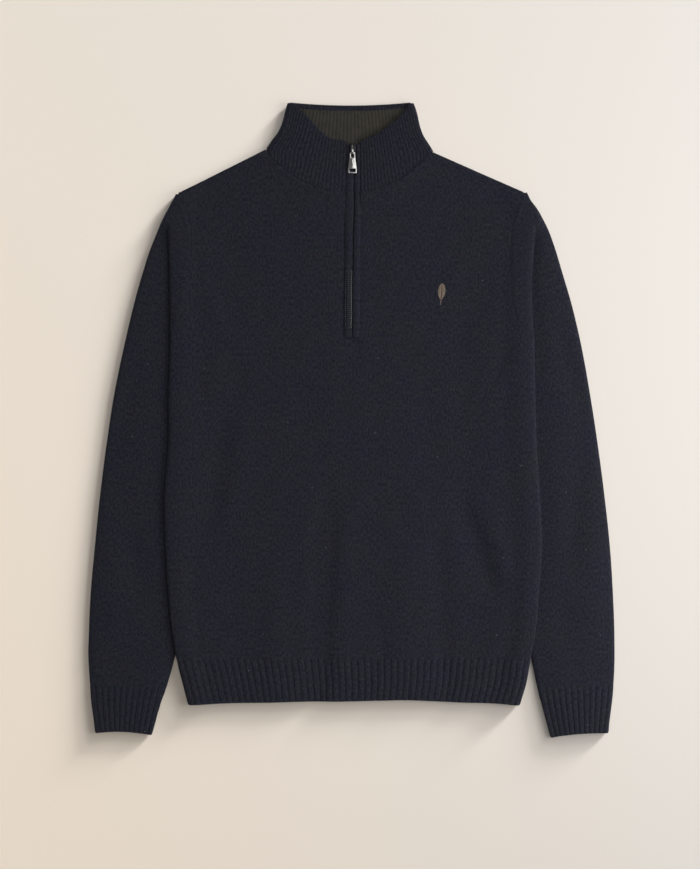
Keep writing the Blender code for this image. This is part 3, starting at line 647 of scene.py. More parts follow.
def woolMaterial(name, wale, course, ribPitch=0.0, valleyShade=1.0, ribTop=None, yarn=wool):
    # Stocking stitch: wale and course are a stitch's width and height, and shift makes its rows wander
    material, tree, shader = startMaterial(name, 0.92, specular=0.12)
    shader.inputs["Sheen Weight"].default_value = wool["nap"]
    shader.inputs["Sheen Roughness"].default_value = 0.45
    shader.inputs["Sheen Tint"].default_value = wool["napTint"]
    uv = stitchPlace(tree)
    wander = noise(tree, uv, 260.0, 2.0)
    shift = ramp(tree, wander, 0.25, 0.75, -0.32, 0.32)
    alongX, alongY, _ = axes(tree, uv)
    across = calc(tree, "MULTIPLY_ADD", alongX, 1 / (wale * mm), shift)
    up = calc(tree, "MULTIPLY_ADD", alongY, 1 / (course * mm), shift)
    leg = calc(tree, "PINGPONG", across, 0.5)                        # 0 in the middle of a stitch, 0.5 between two
    slant = calc(tree, "FRACT", calc(tree, "MULTIPLY_ADD", leg, -1.5, up))
    rowShape = calc(tree, "SINE", calc(tree, "MULTIPLY", slant, math.pi))
    legShape = calc(tree, "SINE", calc(tree, "MULTIPLY", leg, 2 * math.pi))
    stitch = calc(tree, "MULTIPLY", calc(tree, "POWER", calc(tree, "ABSOLUTE", legShape), 0.6),
                  calc(tree, "MULTIPLY_ADD", rowShape, 0.6, 0.4))
    hair = noise(tree, uv, 1500.0, 3.0)
    height = calc(tree, "MULTIPLY_ADD", hair, 0.9, stitch)
    addBump(tree, shader, height, 0.8, wool["bumpDepth"])
    heather = noise(tree, uv, 110.0, 5.0)
    colour = blendColour(tree, ramp(tree, heather, 0.35, 0.65), yarn["shade"], yarn["warm"])
    batch = noise(tree, uv, 16.0, 4.0)
    tint = blendColour(tree, ramp(tree, batch, 0.38, 0.62), (1.04, 1.045, 0.95, 1.0), (0.96, 0.985, 1.02, 1.0))
    colour = blendColour(tree, 1.0, colour, tint, "MULTIPLY")
    drawn = addNode(tree, "ShaderNodeVectorMath", {0: uv, 1: (1.0, 0.55, 1.0)}, operation="MULTIPLY").outputs[0]
    fine = noise(tree, drawn, 460.0, 3.0)
    colour = blendColour(tree, ramp(tree, fine, 0.36, 0.80, 0.02, 0.35), colour, yarn["fleck"])
    for scale, rarity, strength in ((330.0, 0.985, 0.30), (230.0, 0.996, 0.8)):
        cells = addNode(tree, "ShaderNodeTexVoronoi", {"Vector": uv, "Scale": scale})
        chance = addNode(tree, "ShaderNodeSeparateColor", {0: cells.outputs["Color"]}).outputs[0]
        spot = calc(tree, "MULTIPLY", calc(tree, "GREATER_THAN", chance, rarity),
                    ramp(tree, cells.outputs["Distance"], 0.06, 0.24, strength, 0.0))
        colour = blendColour(tree, spot, colour, tuple(2.0 * part for part in yarn["fleck"][:3]) + (1.0,))
    # Painted shade and light: the hollows between stitches are darkened and the stitches' tops lightened in the colour
    depth = ramp(tree, stitch, 0.0, 0.8, 0.55, 1.12)
    if ribPitch:                                                     # less light and nap down in the valleys
        valley = calc(tree, "PINGPONG", calc(tree, "DIVIDE", alongX, ribPitch * mm), 0.5)
        light = ramp(tree, valley, 0.03, 0.2, valleyShade, 1.05)
        if ribTop is not None:                                       # the ribs fade out at the seam above them
            there = ramp(tree, alongY, (ribTop - 6) * mm, (ribTop - 1) * mm, 1.0, 0.0)
            light = calc(tree, "POWER", light, there)
        depth = calc(tree, "MULTIPLY", depth, light)
    shading = addNode(tree, "ShaderNodeCombineColor", {0: depth, 1: depth, 2: depth}).outputs[0]
    tree.links.new(blendColour(tree, 1.0, colour, shading, "MULTIPLY"), shader.inputs["Base Color"])
    return material


# Floor, lights and camera

studio = {
    "cameraHeight": 2400.0, "viewHeight": 1086.25, "centreX": -0.6, "centreY": -18.75, "focusPlane": 6.0,
    "windowTurn": -5.0, "windowRise": 30.0, "windowAway": 1600.0, "windowSize": 1040.0, "windowPower": 12.5,
    "lampTint": (1.0, 0.99, 0.975), "skyTint": (1.0, 0.985, 0.965, 1.0), "skyPower": 0.165,
    # Painted light and shade: the floor's corner colours grade darker toward the bottom and the right
    "floorTopLeft": (0.895, 0.823, 0.735, 1.0), "floorBottomLeft": (0.86, 0.755, 0.638, 1.0),
    "floorTopRight": (0.780, 0.745, 0.710, 1.0), "floorBottomRight": (0.655, 0.622, 0.585, 1.0),
}
# One broad soft source from the upper right. Its low parts light the floor alone (1) and draw the sweater's soft
# shadow, and one part lights the sweater alone (2).
lamps = table(
    "turn rise angle power receiver",
    (45, 8, 10, 5.4, 1),
    (45, 17, 16, 2.05, 1),
    (45, 28, 20, 0.36, 1),
    (45, 85, 30, 0.45, 1),
    (45, 62, 40, 0.70, 2),
)


def makeFloor():
    clearSelection()
    bpy.ops.mesh.primitive_plane_add(size=12)
    floor = bpy.context.object
    floor.name = "studioFloor"
    material, tree, shader = startMaterial("paleFloor", 0.9, specular=0.1)
    place = objectPlace(tree)
    x, y, _ = axes(tree, place)
    # painted light and shade: the floor's colour is blended between the corners, darker toward the bottom and the right
    upward = ramp(tree, y, -0.56, 0.53)
    rightward = ramp(tree, x, -0.44, 0.44)
    leftSide = blendColour(tree, upward, studio["floorBottomLeft"], studio["floorTopLeft"])
    rightSide = blendColour(tree, upward, studio["floorBottomRight"], studio["floorTopRight"])
    tree.links.new(blendColour(tree, rightward, leftSide, rightSide), shader.inputs["Base Color"])
    floor.data.materials.append(material)
    return floor


def addLamp(kind, power, **place):
    clearSelection()
    bpy.ops.object.light_add(type=kind, **place)
    lamp = bpy.context.object
    lamp.data.energy = power
    lamp.data.color = studio["lampTint"]
    return lamp


def makeStudio():
    world = bpy.context.scene.world or bpy.data.worlds.new("studioSky")
    bpy.context.scene.world = world
    world.use_nodes = True
    sky = world.node_tree.nodes["Background"]
    sky.inputs["Color"].default_value = studio["skyTint"]
    sky.inputs["Strength"].default_value = studio["skyPower"]
    turn, rise, away = math.radians(studio["windowTurn"]), math.radians(studio["windowRise"]), studio["windowAway"] * mm
    toward = (math.cos(rise) * math.cos(turn), math.cos(rise) * math.sin(turn), math.sin(rise))
    window = addLamp("AREA", studio["windowPower"], rotation=(0, math.pi / 2 - rise, turn),
                     location=[away * part for part in toward])
    window.data.shape = "DISK"
    window.data.size = studio["windowSize"] * mm
    for turn, rise, angle, power, receiver in zip(*lamps.values()):
        sun = addLamp("SUN", power, rotation=(0, math.radians(90 - rise), math.radians(turn)))
        sun.data.angle = math.radians(angle)
        sun.light_linking.receiver_collection = floorAlone if receiver == 1 else clothAlone
    clearSelection()
    bpy.ops.object.camera_add(location=(studio["centreX"] * mm, studio["centreY"] * mm,
                                        (studio["cameraHeight"] + studio["focusPlane"]) * mm))
    camera = bpy.context.object
    camera.data.sensor_width = 36.0
    camera.data.lens = 36.0 * studio["cameraHeight"] / studio["viewHeight"]
    camera.data.clip_end = 50.0
    bpy.context.scene.camera = camera
    bpy.context.scene.view_settings.view_transform = "Standard"
    print("studio ready")


clothAlone = bpy.data.collections.new("clothAlone")
floorAlone = bpy.data.collections.new("floorAlone")
floorAlone.objects.link(makeFloor())
makeStudio()


# Front panel

frontPanel = {"columns": 56, "stripColumns": 12, "wrapRows": 98, "armholeRows": 48, "foldColumns": 22, "underColumns": 8}
navyPanel = woolMaterial("navyPanelKnit", 2.15, 1.6)


def frontPatch(side, rowLevels):
    shares = np.linspace(0, 1, frontPanel["columns"] + 1)[None, :]
    level = rowLevels[:, None]
    low = level < body["armpit"]
    seam = seamX(side, np.maximum(level, body["armpit"])) - seamGap / 2
    reach = np.where(low, mix(sided(levels, "fold", side, level) - foldLead, seam, ease((level - 80) / 22)), seam)
    high = rowLevels[-1]
    climb = np.maximum(level, 0.0) / high
    slit = zipSizes["slitHalf"]
    x = side * mix(slit + side * zipCentre(level), reach, shares)
    topX = side * mix(slit + side * zipCentre(high), seamX(side, high), shares)
    y = level + climb * (panelTop(topX) - high)
    return gridPatch(side * x, y, topHeight(x, y) + panelRelief(side, x, y))


def panelRelief(side, x, y):
    fold = bySide(x, levels, "fold", y)
    calm = ease((fold - foldLead - np.abs(x)) / 20)
    relief = 0.28 * ripple(x, y, 5, 70, 24) * calm
    neck = neckDistance(x, y)
    # The linked neck seam, the cloth rolled down round the zip, and the ridge beside the armhole seam
    relief = relief + 0.6 * np.exp(-((neck - 3.8) / 2.6) ** 2) - 0.55 * np.exp(-((neck / 1.3) ** 2))
    slit = np.hypot(np.maximum(np.abs(x - zipCentre(y)) - zipSizes["slitHalf"], 0), np.maximum(body["armpit"] - y, 0))
    relief = relief - 0.4 * np.exp(-((slit / 2.4) ** 2))
    seam = seamX(side, np.maximum(y, body["armpit"]))
    return relief + 0.5 * np.exp(-((seam - np.abs(x) - 3.5) / 2.4) ** 2) * ease((y - 118) / 20)


def makeFront():
    wrapLevels = np.concatenate([np.linspace(body["hemTop"], 84, frontPanel["wrapRows"]), np.linspace(86, 102.95, 10)])
    patches = []
    edgeStep, edgeEnd = 1.6, 3.3                                     # the shoulder's edge turns down to the back panel
    for side in (1, -1):
        high = float(panelTop(side * shoulderX))
        rowLevels = np.concatenate([wrapLevels, armpitRows, np.linspace(106, high - 6.6, frontPanel["armholeRows"]),
                                    high - np.array([4.6, 3, 1.7, 0.7, 0])])
        points, uv, _ = frontPatch(side, rowLevels)
        patches.append(mirrored(side, points, uv))
        first = int(np.argmax(points[-1, :, 0] >= body[named("neckReach", side)])) - 1
        top = points[-1, first:]
        rows = [top]
        for turn in (30, 60, 90):
            row = top.copy()
            row[1:, 1] += edgeStep * math.sin(math.radians(turn))
            row[1:, 2] -= (row[1:, 2] - edgeEnd) * (1 - math.cos(math.radians(turn)))
            rows.append(row)
        over = np.stack(rows)
        stretch = np.arange(len(rows))[:, None] * edgeStep + top[None, :, 1]
        patches.append(mirrored(side, over, np.stack([over[..., 0], stretch], axis=-1)))
        around, maps = [], []
        for level in wrapLevels:
            line = foldPath(side, level)
            edge = points[len(around), -1, [0, 2]]
            line = spaced(np.vstack([edge, line[int(np.argmax(line[:, 0] > edge[0] + 0.4)):]]), frontPanel["foldColumns"])
            around.append(lifted(line, level))
            maps.append(mapRow(line[0, 0] + lengthAlong(line), level))
        patches.append(mirrored(side, np.stack(around), np.stack(maps)))
        under, maps = [], []
        for level in wrapLevels[wrapLevels < 0]:
            line = spaced(underPath(side, level), frontPanel["underColumns"])
            under.append(lifted(line, level))
            maps.append(mapRow(260 + lengthAlong(line), level))
        patches.append(mirrored(side, np.stack(under), np.stack(maps)))
    level = wrapLevels[:, None]
    x = mix(zipCentre(level) - zipSizes["slitHalf"], zipCentre(level) + zipSizes["slitHalf"],
            np.linspace(0, 1, frontPanel["stripColumns"] + 1)[None, :])
    patches.append(gridPatch(x, level, topHeight(x, level) + panelRelief(1, x, level)))
    piece = laySheet("frontPanel", patches, wall)
    dress(piece, navyPanel, "body_front")
    print("front panel laid")


makeFront()


# Back panel, flat on the floor under everything

backPanel = {"columns": 60, "rows": 90, "top": 281.4, "fanFrom": 95}     # its rows fan out toward the shoulders


def makeBack():
    high, low = backPanel["top"], backPanel["fanFrom"]
    rowLevels = np.linspace(body["hemTop"], high, backPanel["rows"])[:, None]
    shares = np.linspace(1, -1, backPanel["columns"] + 1)[None, :]
    climb = np.maximum(rowLevels - low, 0.0) / (high - low)
    x = shares * bySide(shares, levels, "back", rowLevels)
    topX = shares * bySide(shares, levels, "back", high)
    reach = neckReach(topX)
    neck = shoulderLine(np.copysign(reach, topX)) - body["backNeckDip"] * (1 - (topX / reach) ** 2)
    top = np.where(np.abs(topX) < reach, neck, shoulderLine(topX))
    y = rowLevels + climb * (top - high)
    points, uv, _ = gridPatch(x, y, backLayer)
    piece = laySheet("backPanel", [(points, uv * (-1, 1), None)], wall)
    dress(piece, navyPanel, "body_back")
    print("back panel laid")


makeBack()


# Sleeves: from the armhole seam over the body's side fold, into the pleat, and round the arm

navySleeve = woolMaterial("navySleeveKnit", 2.15, 1.6)
sleeve = {
    "top": 42, "under": 30, "crowding": 1.35, "lead": 22, "roll": 5, "lowerRows": 80, "middleRows": 28, "upperRows": 46,
}


def bothSides(line, top, under):
    # Evenly spaced over the top and under the arm, closer together at the outer fold, with a point on it
    apex = int(np.argmax(line[:, 0]))
    parts = []
    for piece, count in ((line[:apex + 1], top), (line[apex:][::-1], under)):
        length = lengthAlong(piece)
        at = length[-1] * (1 - (1 - np.arange(count + 1) / count) ** sleeve["crowding"])
        parts.append(np.stack([np.interp(at, length, piece[:, axis]) for axis in (0, 1)], axis=1))
    return np.vstack([parts[0], parts[1][::-1][1:]])


def sleeveLine(side, level):
    armpit, underarm = body["armpit"], body["underarm"]
    before = pleatPath(side, level) if level > armpit else innerRoll(side, level) if level < underarm - 30 else []
    line = spline(before + sleevePath(side, level))
    cut = len(before) * 8
    return line[:cut + 1], line[cut:]


def stitchMap(side, points, level, shift):
    # Wales run along the outer fold, which is the middle of the sleeve as it was knitted
    out = sided(levels, "out", side, level)
    slope = (sided(levels, "out", side, level + 5) - sided(levels, "out", side, level - 5)) / 10
    return np.column_stack([shift, points[:, 1] + slope * (points[:, 0] - out)])


def makeSleeve(side, name, node):
    lower = np.linspace(body["cuffTop"], -14, sleeve["lowerRows"])
    middle = np.linspace(-10, 100, sleeve["middleRows"])
    last = body[named("shoulderEnd", side)] - 1.3
    upper = np.concatenate([armpitRows, np.linspace(106, last, sleeve["upperRows"])])
    main, mainMap, pleat, pleatMap, roll, rollMap = [], [], [], [], [], []
    for level in np.concatenate([lower, middle, upper]):
        first, rest = sleeveLine(side, level)
        rest = bothSides(rest, sleeve["top"], sleeve["under"])
        length = lengthAlong(rest)
        length = length - length[np.argmax(rest[:, 0])]
        line = hung(side, rest, level)
        main.append(line)
        mainMap.append(stitchMap(side, line, level, length))
        if level <= lower[-1]:
            start = hung(side, spaced(first, sleeve["roll"]), level)
            roll.append(start)
            rollMap.append(stitchMap(side, start, level, length[0] - 9 + lengthAlong(start)))
        if level >= upper[0]:
            lead = spaced(first, sleeve["lead"])
            start = lifted(lead, level)
            if lead[0, 0] > 0:
                seam = lead[0, 0]
                mark = np.exp(-((lead[:, 0] - seam - 4.0) / 2.2) ** 2) * ease((level - 112) / 16)
                mark *= ease((lead[:, 0].max() - lead[:, 0]) / 5) * (np.arange(len(lead)) <= np.argmax(lead[:, 0]))
                start[:, 2] += 0.6 * mark
            pleat.append(start)
            pleatMap.append(stitchMap(side, start, level, length[0] - lengthAlong(start)[-1] + lengthAlong(start)))
    strips = ((main, mainMap), (pleat, pleatMap), (roll, rollMap))
    patches = [mirrored(side, np.stack(rows), np.stack(maps)) for rows, maps in strips]
    piece = laySheet(name, patches, wall)
    dress(piece, navySleeve, node)
    print(name, "laid")


makeSleeve(-1, "sleeveLeft", "sleeve_left")
makeSleeve(1, "sleeveRight", "sleeve_right")


# Ribbed hem and cuffs

rib = {"pointsPerRib": 8, "rows": 18, "backColumns": 160, "edgeRound": 0.55, "growth": 5.5}
navyHem = woolMaterial("navyHemRib", 2.1, 1.7, body["hemRibs"], 0.80, body["hemTop"])
navyCuff = woolMaterial("navyCuffRib", 2.0, 1.7, body["cuffRibs"], 0.80, body["cuffTop"])


def ribShape(count, perRib):
    turn = np.abs(np.sin(np.pi * np.arange(count + 1) / perRib))
    return turn ** 0.7                                          # broad rib, narrow valley


def roundEdge(rows, rise, thick, atStart=True, atEnd=False):
    # Thins the wall where the knit rolls over its finished edge
    shape = np.zeros(rows)
    drop = thick / rise * rib["edgeRound"]
    for i, share in enumerate((1.0, 0.35, 0.08)):
        if atStart:
            shape[i] -= drop * share
        if atEnd:
            shape[rows - 1 - i] -= drop * share
    return shape[:, None]


def grown(weights, levels, top):
    # Ribs grow out of plain knit just below the seam, where the surface is level with the knit above
    share = ease((top - levels) / rib["growth"])[:, None]
    return mix((wall - ribWall) / 2 / cloth["ribRise"], weights, share)


def ribbed(lines, heights, pitch, top, place):
    # A band with even ribs, from its finished lower edge to the seam above it
    perRib = rib["pointsPerRib"]
    count = round(lengthAlong(lines[-1])[-1] / pitch) * perRib
    rows = [spaced(line, count) for line in lines]
    grid = np.stack([place(points, level) for points, level in zip(rows, heights)])
    maps = np.stack(np.meshgrid(np.arange(count + 1) * pitch / perRib, heights), axis=-1)
    weights = np.stack([ribShape(count, perRib) * ease((points[:, 1] - 1.6) / 1.6) for points in rows])
    return grid, maps, grown(weights, heights, top) + roundEdge(len(heights), cloth["ribRise"], ribWall)


def wrapPath(side, y):
    return np.vstack([foldPath(side, y), underPath(side, y)[1:]])


def bowed(line, y):
    share = (body["hemTop"] - y) / (body["hemTop"] - body["hemBottom"])
    return np.column_stack([line[:, 0], y + share * read(hemEdge, "lift", line[:, 0]), line[:, 1]])


def edgeRows(bottom, top):
    even = np.linspace(bottom + 3, top - 10, rib["rows"] - 7)
    return np.concatenate([[bottom, bottom + 0.5, bottom + 1.4], even, top - np.array([7.5, 5, 2.5, 0])])


def makeHemFront():
    heights = edgeRows(body["hemBottom"], body["hemTop"] - seamGap)
    lines = []
    for level in heights:
        right, left = wrapPath(1, level), wrapPath(-1, level)
        x = np.linspace(-left[0, 0], right[0, 0], 120)[1:-1]
        y = np.full(x.shape, level)
        across = np.column_stack([x, topHeight(x, y) + panelRelief(1, x, y)])
        lines.append(np.vstack([left[::-1] * (-1, 1), across, right]))
    patch = ribbed(lines, heights, body["hemRibs"], body["hemTop"], bowed)
    piece = laySheet("hemFront", [patch], ribWall, cloth["ribRise"])
    dress(piece, navyHem, "hem_front")


def makeHemBack():
    heights = edgeRows(body["hemBottom"], body["hemTop"] - seamGap)
    grid, maps = [], []
    for level in heights:
        x = np.linspace(sided(levels, "back", 1, level), -sided(levels, "back", -1, level), rib["backColumns"] + 1)
        grid.append(bowed(np.column_stack([x, np.full(x.shape, ribWall / 2)]), level))
        maps.append(mapRow(-x, level))
    piece = laySheet("hemBack", [(np.stack(grid), np.stack(maps), None)], ribWall)
    dress(piece, navyHem, "hem_back")
    print("hem laid")


def makeCuff(side, name, node):
    heights = edgeRows(body[named("cuffBottom", side)], body["cuffTop"] - seamGap)
    lines = [spline(innerRoll(side, level) + sleevePath(side, level)) for level in heights]
    patch = ribbed(lines, heights, body["cuffRibs"], body["cuffTop"], lambda line, level: hung(side, line, level))
    piece = laySheet(name, [mirrored(side, *patch)], ribWall, cloth["ribRise"])
    dress(piece, navyCuff, node)
    print(name, "laid")


makeHemFront()
makeHemBack()
makeCuff(-1, "cuffLeft", "cuff_left")
makeCuff(1, "cuffRight", "cuff_right")


# Collar: one rib tube open at the zip, its back half flat on the floor, with a brown rib facing inside

collar = {
    "ribs": 20, "pointsPerRib": 8, "ribPitch": 4.9, "rise": 0.55, "bend": 10, "back": 96, "rows": 26,
    "sideLow": 334.0, "bulgeLeft": 4.3, "bulgeRight": 3.4,           # how far its rounded side stands out past the path
    "frontHeight": 8.2, "frontTopReach": 77.5,
    "backTop": 394.6, "backTopBow": 4.0, "backTopReach": 76.0,       # the back's top edge bows down in the middle
    "turnedEdge": 5.0,                                               # and turns over and down inside
    "turnPath": ((0.9, 1.9), (1.3, 2.75), (0.9, 3.6), (0.0, 4.2), (-1.6, 4.2), (-3.2, 4.2), (-5.0, 4.2)),
    "facingPitch": 4.25, "facingWidth": 146.0, "facingLow": 332.0, "facingLowReach": 86.0, "facingHighReach": 72.0,
}
oliveYarn = {
    "shade": (0.056, 0.0530, 0.0462, 1.0), "warm": (0.0735, 0.0672, 0.0598, 1.0), "fleck": (0.105, 0.098, 0.082, 1.0),
}
navyCollar = woolMaterial("navyCollarRib", 2.45, 1.7, collar["ribPitch"], 0.76)
oliveFacing = woolMaterial("oliveFacingRib", 2.1, 1.5, collar["facingPitch"], 0.8, yarn=oliveYarn)


def collarBackTop(x):
    return collar["backTop"] - collar["backTopBow"] * (1 - (x / 78.0) ** 2)


def collarBackBottom(x):
    reach = neckReach(x)
    dip = body["backNeckDip"] * (1 - np.minimum(np.abs(x) / reach, 1) ** 2)
    return shoulderLine(np.copysign(reach, x)) + 2 * seamGap - dip


def bend(start, end, count, side):
    angle = np.pi * np.arange(1, count)[:, None] / count
    points = mix(np.array(start), np.array(end), (1 - np.cos(angle)) / 2)
    points[:, 0] += side * abs(start[2] - end[2]) / 2 * np.sin(angle[:, 0])
    return points


def collarRow(v, frontCount, bendCount, backCount):
    halves = {}
    share = np.arange(frontCount + 1) / frontCount
    for side in (-1, 1):
        reach = body[named("neckReach", side)] + 1.5
        slit = zipSizes["slitHalf"]
        bulge = collar[named("bulge", side)]
        bottomX = mix(reach, side * zipCentre(290) + slit, share)
        topX = mix(collar["frontTopReach"], side * zipCentre(345) + slit - 1.0, share)
        gather = ease(1 - share / 0.5) * (share < 0.5)
        seam = bottomX + (sided(collarSides, "edge", side, collar["sideLow"]) - bulge - bottomX[0]) * gather
        y = mix(neckLine(side * np.minimum(seam, reach - 1.5)) - seamGap, read(collarFrontTop, "y", side * topX), v)
        fold = sided(collarSides, "edge", side, y) - bulge
        x = mix(bottomX, topX, v)
        x = x + (fold - mix(bottomX[0], topX[0], v)) * gather
        height = mix(body["neckHeight"], collar["frontHeight"], np.sin(np.pi * share))
        halves[side] = np.column_stack([x, y, height])
    turn = np.linspace(-1, 1, backCount + 1)
    x0 = turn * np.where(turn > 0, body["neckReachRight"], body["neckReachLeft"])
    y = mix(collarBackBottom(x0), collarBackTop(turn * collar["backTopReach"]), v)
    edge = np.where(turn > 0, halves[1][0, 0], halves[-1][0, 0])
    back = np.column_stack([turn * edge, y, np.full(turn.shape, backLayer)])
    left, right = halves[-1][::-1] * (-1, 1, 1), halves[1]
    return np.vstack([left, bend(left[-1], back[0], bendCount, -1), back, bend(back[-1], right[0], bendCount, 1), right])


def makeCollar():
    perRib = collar["pointsPerRib"]
    frontCount, bendCount, backCount = collar["ribs"] * perRib, collar["bend"], collar["back"]
    shares = np.concatenate([np.linspace(0, 0.97, collar["rows"] - 3), [0.985, 0.995, 1.0]])
    grid = np.stack([collarRow(v, frontCount, bendCount, backCount) for v in shares])
    last = grid.shape[1] - 1
    column = np.arange(last + 1)
    atFront = (column <= frontCount) | (column >= last - frontCount)
    shape = np.where(column <= frontCount, ribShape(last, perRib), ribShape(last, perRib)[::-1]) * atFront
    weights = np.broadcast_to(shape, grid.shape[:2]) + roundEdge(len(shares), collar["rise"], ribWall, False, True) * atFront
    across = np.where(column <= frontCount, column, last - column) * collar["ribPitch"] / perRib
    maps = np.stack([np.column_stack([across, row[:, 1]]) for row in grid])
    patches = [(grid[:, ::-1], maps[:, ::-1], weights[:, ::-1])]
    first = frontCount + bendCount
    top = grid[-1, first:first + backCount + 1]
    turned, turnedMap = [top], [maps[-1, first:first + backCount + 1]]
    for reach, height in collar["turnPath"]:
        row = top.copy()
        row[:, 0] *= 1 - 0.02 * (height > 4)
        row[:, 1] += reach
        row[:, 2] = height
        turned.append(row)
        turnedMap.append(np.column_stack([row[:, 0], 2 * top[:, 1] - row[:, 1]]))
    turned, turnedMap = np.stack(turned), np.stack(turnedMap)
    patches.append((turned[:, ::-1], turnedMap[:, ::-1], None))
    piece = laySheet("ribCollar", patches, ribWall, collar["rise"])
    dress(piece, navyCollar, "collar")
    print("collar laid")


def makeFacing():
    count = round(collar["facingWidth"] / collar["facingPitch"]) * collar["pointsPerRib"]
    v = np.linspace(0, 1, 14)[:, None]
    turn = np.linspace(-1, 1, count + 1)[None, :]
    x = turn * mix(collar["facingLowReach"], collar["facingHighReach"], v)
    high = collarBackTop(turn * collar["backTopReach"]) - collar["turnedEdge"] + 0.4
    y = mix(collar["facingLow"], high, v)
    z = backLayer + wall / 2 + 0.3 + cloth["facingWall"] / 2 + 0.9 * ease((v - 0.86) / 0.14)
    points, maps, weights = gridPatch(x, y, z, np.broadcast_to(ribShape(count, collar["pointsPerRib"]), x.shape))
    maps[..., 0] = np.arange(count + 1) * collar["facingPitch"] / collar["pointsPerRib"]
    piece = laySheet("collarFacing", [(points, maps, weights)], cloth["facingWall"], cloth["facingRise"])
    dress(piece, oliveFacing, "collar_facing")
    print("facing laid")


makeCollar()
makeFacing()


# Zip: twill tapes, rolled knit edges, teeth, slider and the pull tab, which alone moves

zipLook = {
    "leftReach": 0.1, "rightReach": 1.45, "rightReachLow": 1.0,      # from the middle of the zip to each rolled edge
    "openTop": 192.5, "openBottom": 112.0, "tapeLift": 2.2,          # where tape and teeth show, and stand up
    "rollRows": 150, "rollColumns": 28, "rollWall": 1.5, "rollHalfHeight": 1.1,
    "chainShift": -2.6, "chainShiftLow": 0.1, "toothTop": 326.0,
    "toothLength": 2.1, "openToothLength": 6.4, "headLength": 1.2, "toothWidth": 0.85, "toothThick": 1.3,
}
metals = {
    "nickel": (0.52, 0.52, 0.51, 1.0), "teeth": (0.50, 0.49, 0.47, 1.0), "teethInShade": (0.12, 0.13, 0.155, 1.0),
    "slider": (0.035, 0.036, 0.045, 1.0),
}


def metalMaterial(name, tint, roughness, root=None):
    material, tree, shader = startMaterial(name, roughness, metallic=1.0)
    place = objectPlace(tree)
    brushed = addNode(tree, "ShaderNodeMapping", {"Vector": place, "Scale": (2600.0, 500.0, 2600.0)}).outputs[0]
    streaks = noise(tree, brushed, 1.0, 3.0)
    worn = noise(tree, place, 420.0, 2.0)
    tree.links.new(ramp(tree, calc(tree, "MULTIPLY_ADD", worn, 0.6, streaks), 0.5, 1.1, roughness * 0.7, roughness * 1.6),
                   shader.inputs["Roughness"])
    dull = tuple(0.78 * part for part in tint[:3]) + (1.0,)
    colour = blendColour(tree, ramp(tree, worn, 0.35, 0.7), tint, dull)
    if root:                                                         # painted shade: the teeth darken away from the middle of the zip, leaving only their tips bright
        x, y, _ = axes(tree, place)
        slope = (zipSizes["topX"] - zipSizes["bottomX"]) / zipSizes["leanLength"]
        middle = calc(tree, "MULTIPLY_ADD", y, slope, (zipSizes["bottomX"] - slope * zipSizes["bottom"]) * mm)
        away = calc(tree, "SUBTRACT", middle, x)
        colour = blendColour(tree, ramp(tree, away, 1.0 * mm, 1.4 * mm), colour, root)
    tree.links.new(colour, shader.inputs["Base Color"])
    addBump(tree, shader, streaks, 0.25, 0.05)
    return material


def tapeMaterial():
    material, tree, shader = startMaterial("navyTwillTape", 0.8, specular=0.25)
    uv = stitchPlace(tree)
    alongX, alongY, _ = axes(tree, uv)
    slope = calc(tree, "ADD", alongX, alongY)
    lines = calc(tree, "SINE", calc(tree, "MULTIPLY", slope, 2 * math.pi / (0.95 * mm)))
    threads = calc(tree, "SINE", calc(tree, "MULTIPLY", alongX, 2 * math.pi / (0.55 * mm)))
    weave = calc(tree, "MULTIPLY_ADD", threads, 0.35, lines)
    tree.links.new(blendColour(tree, ramp(tree, weave, -1.2, 1.2), (0.008, 0.0085, 0.013, 1.0), (0.044, 0.047, 0.064, 1.0)),
                   shader.inputs["Base Color"])
    addBump(tree, shader, weave, 0.7, 0.2)
    return material


nickel = metalMaterial("polishedNickel", metals["nickel"], 0.2)
darkNickel = metalMaterial("darkNickel", metals["slider"], 0.45)
toothMetal = metalMaterial("toothNickel", metals["teeth"], 0.28, root=metals["teethInShade"])
navyRoll = woolMaterial("navyRolledEdge", 2.0, 1.6)
twill = tapeMaterial()


def openShare(y):
    return ease((zipLook["openTop"] - y) / 9) * ease((y - zipLook["openBottom"]) / 5)


def makeTape(side, name, node):
    y = np.linspace(zipSizes["bottom"] - 8, zipSizes["top"], 90)[:, None]
    across = np.linspace(-1, 1, 13)[None, :] * zipSizes["tapeWidth"] / 2
    x = zipCentre(y) + side * (seamGap / 2 + zipSizes["tapeWidth"] / 2) + across
    z = tapeHeight(y) + 0.12 * ripple(x, y, 9, 30, 12, 6)
    if side < 0:
        z = z + zipLook["tapeLift"] * openShare(y) * ease((7.9 + x - zipCentre(y)) / 1.6)
    piece = laySheet(name, [gridPatch(x, y, z)], zipSizes["tapeThick"])
    dress(piece, twill, node)


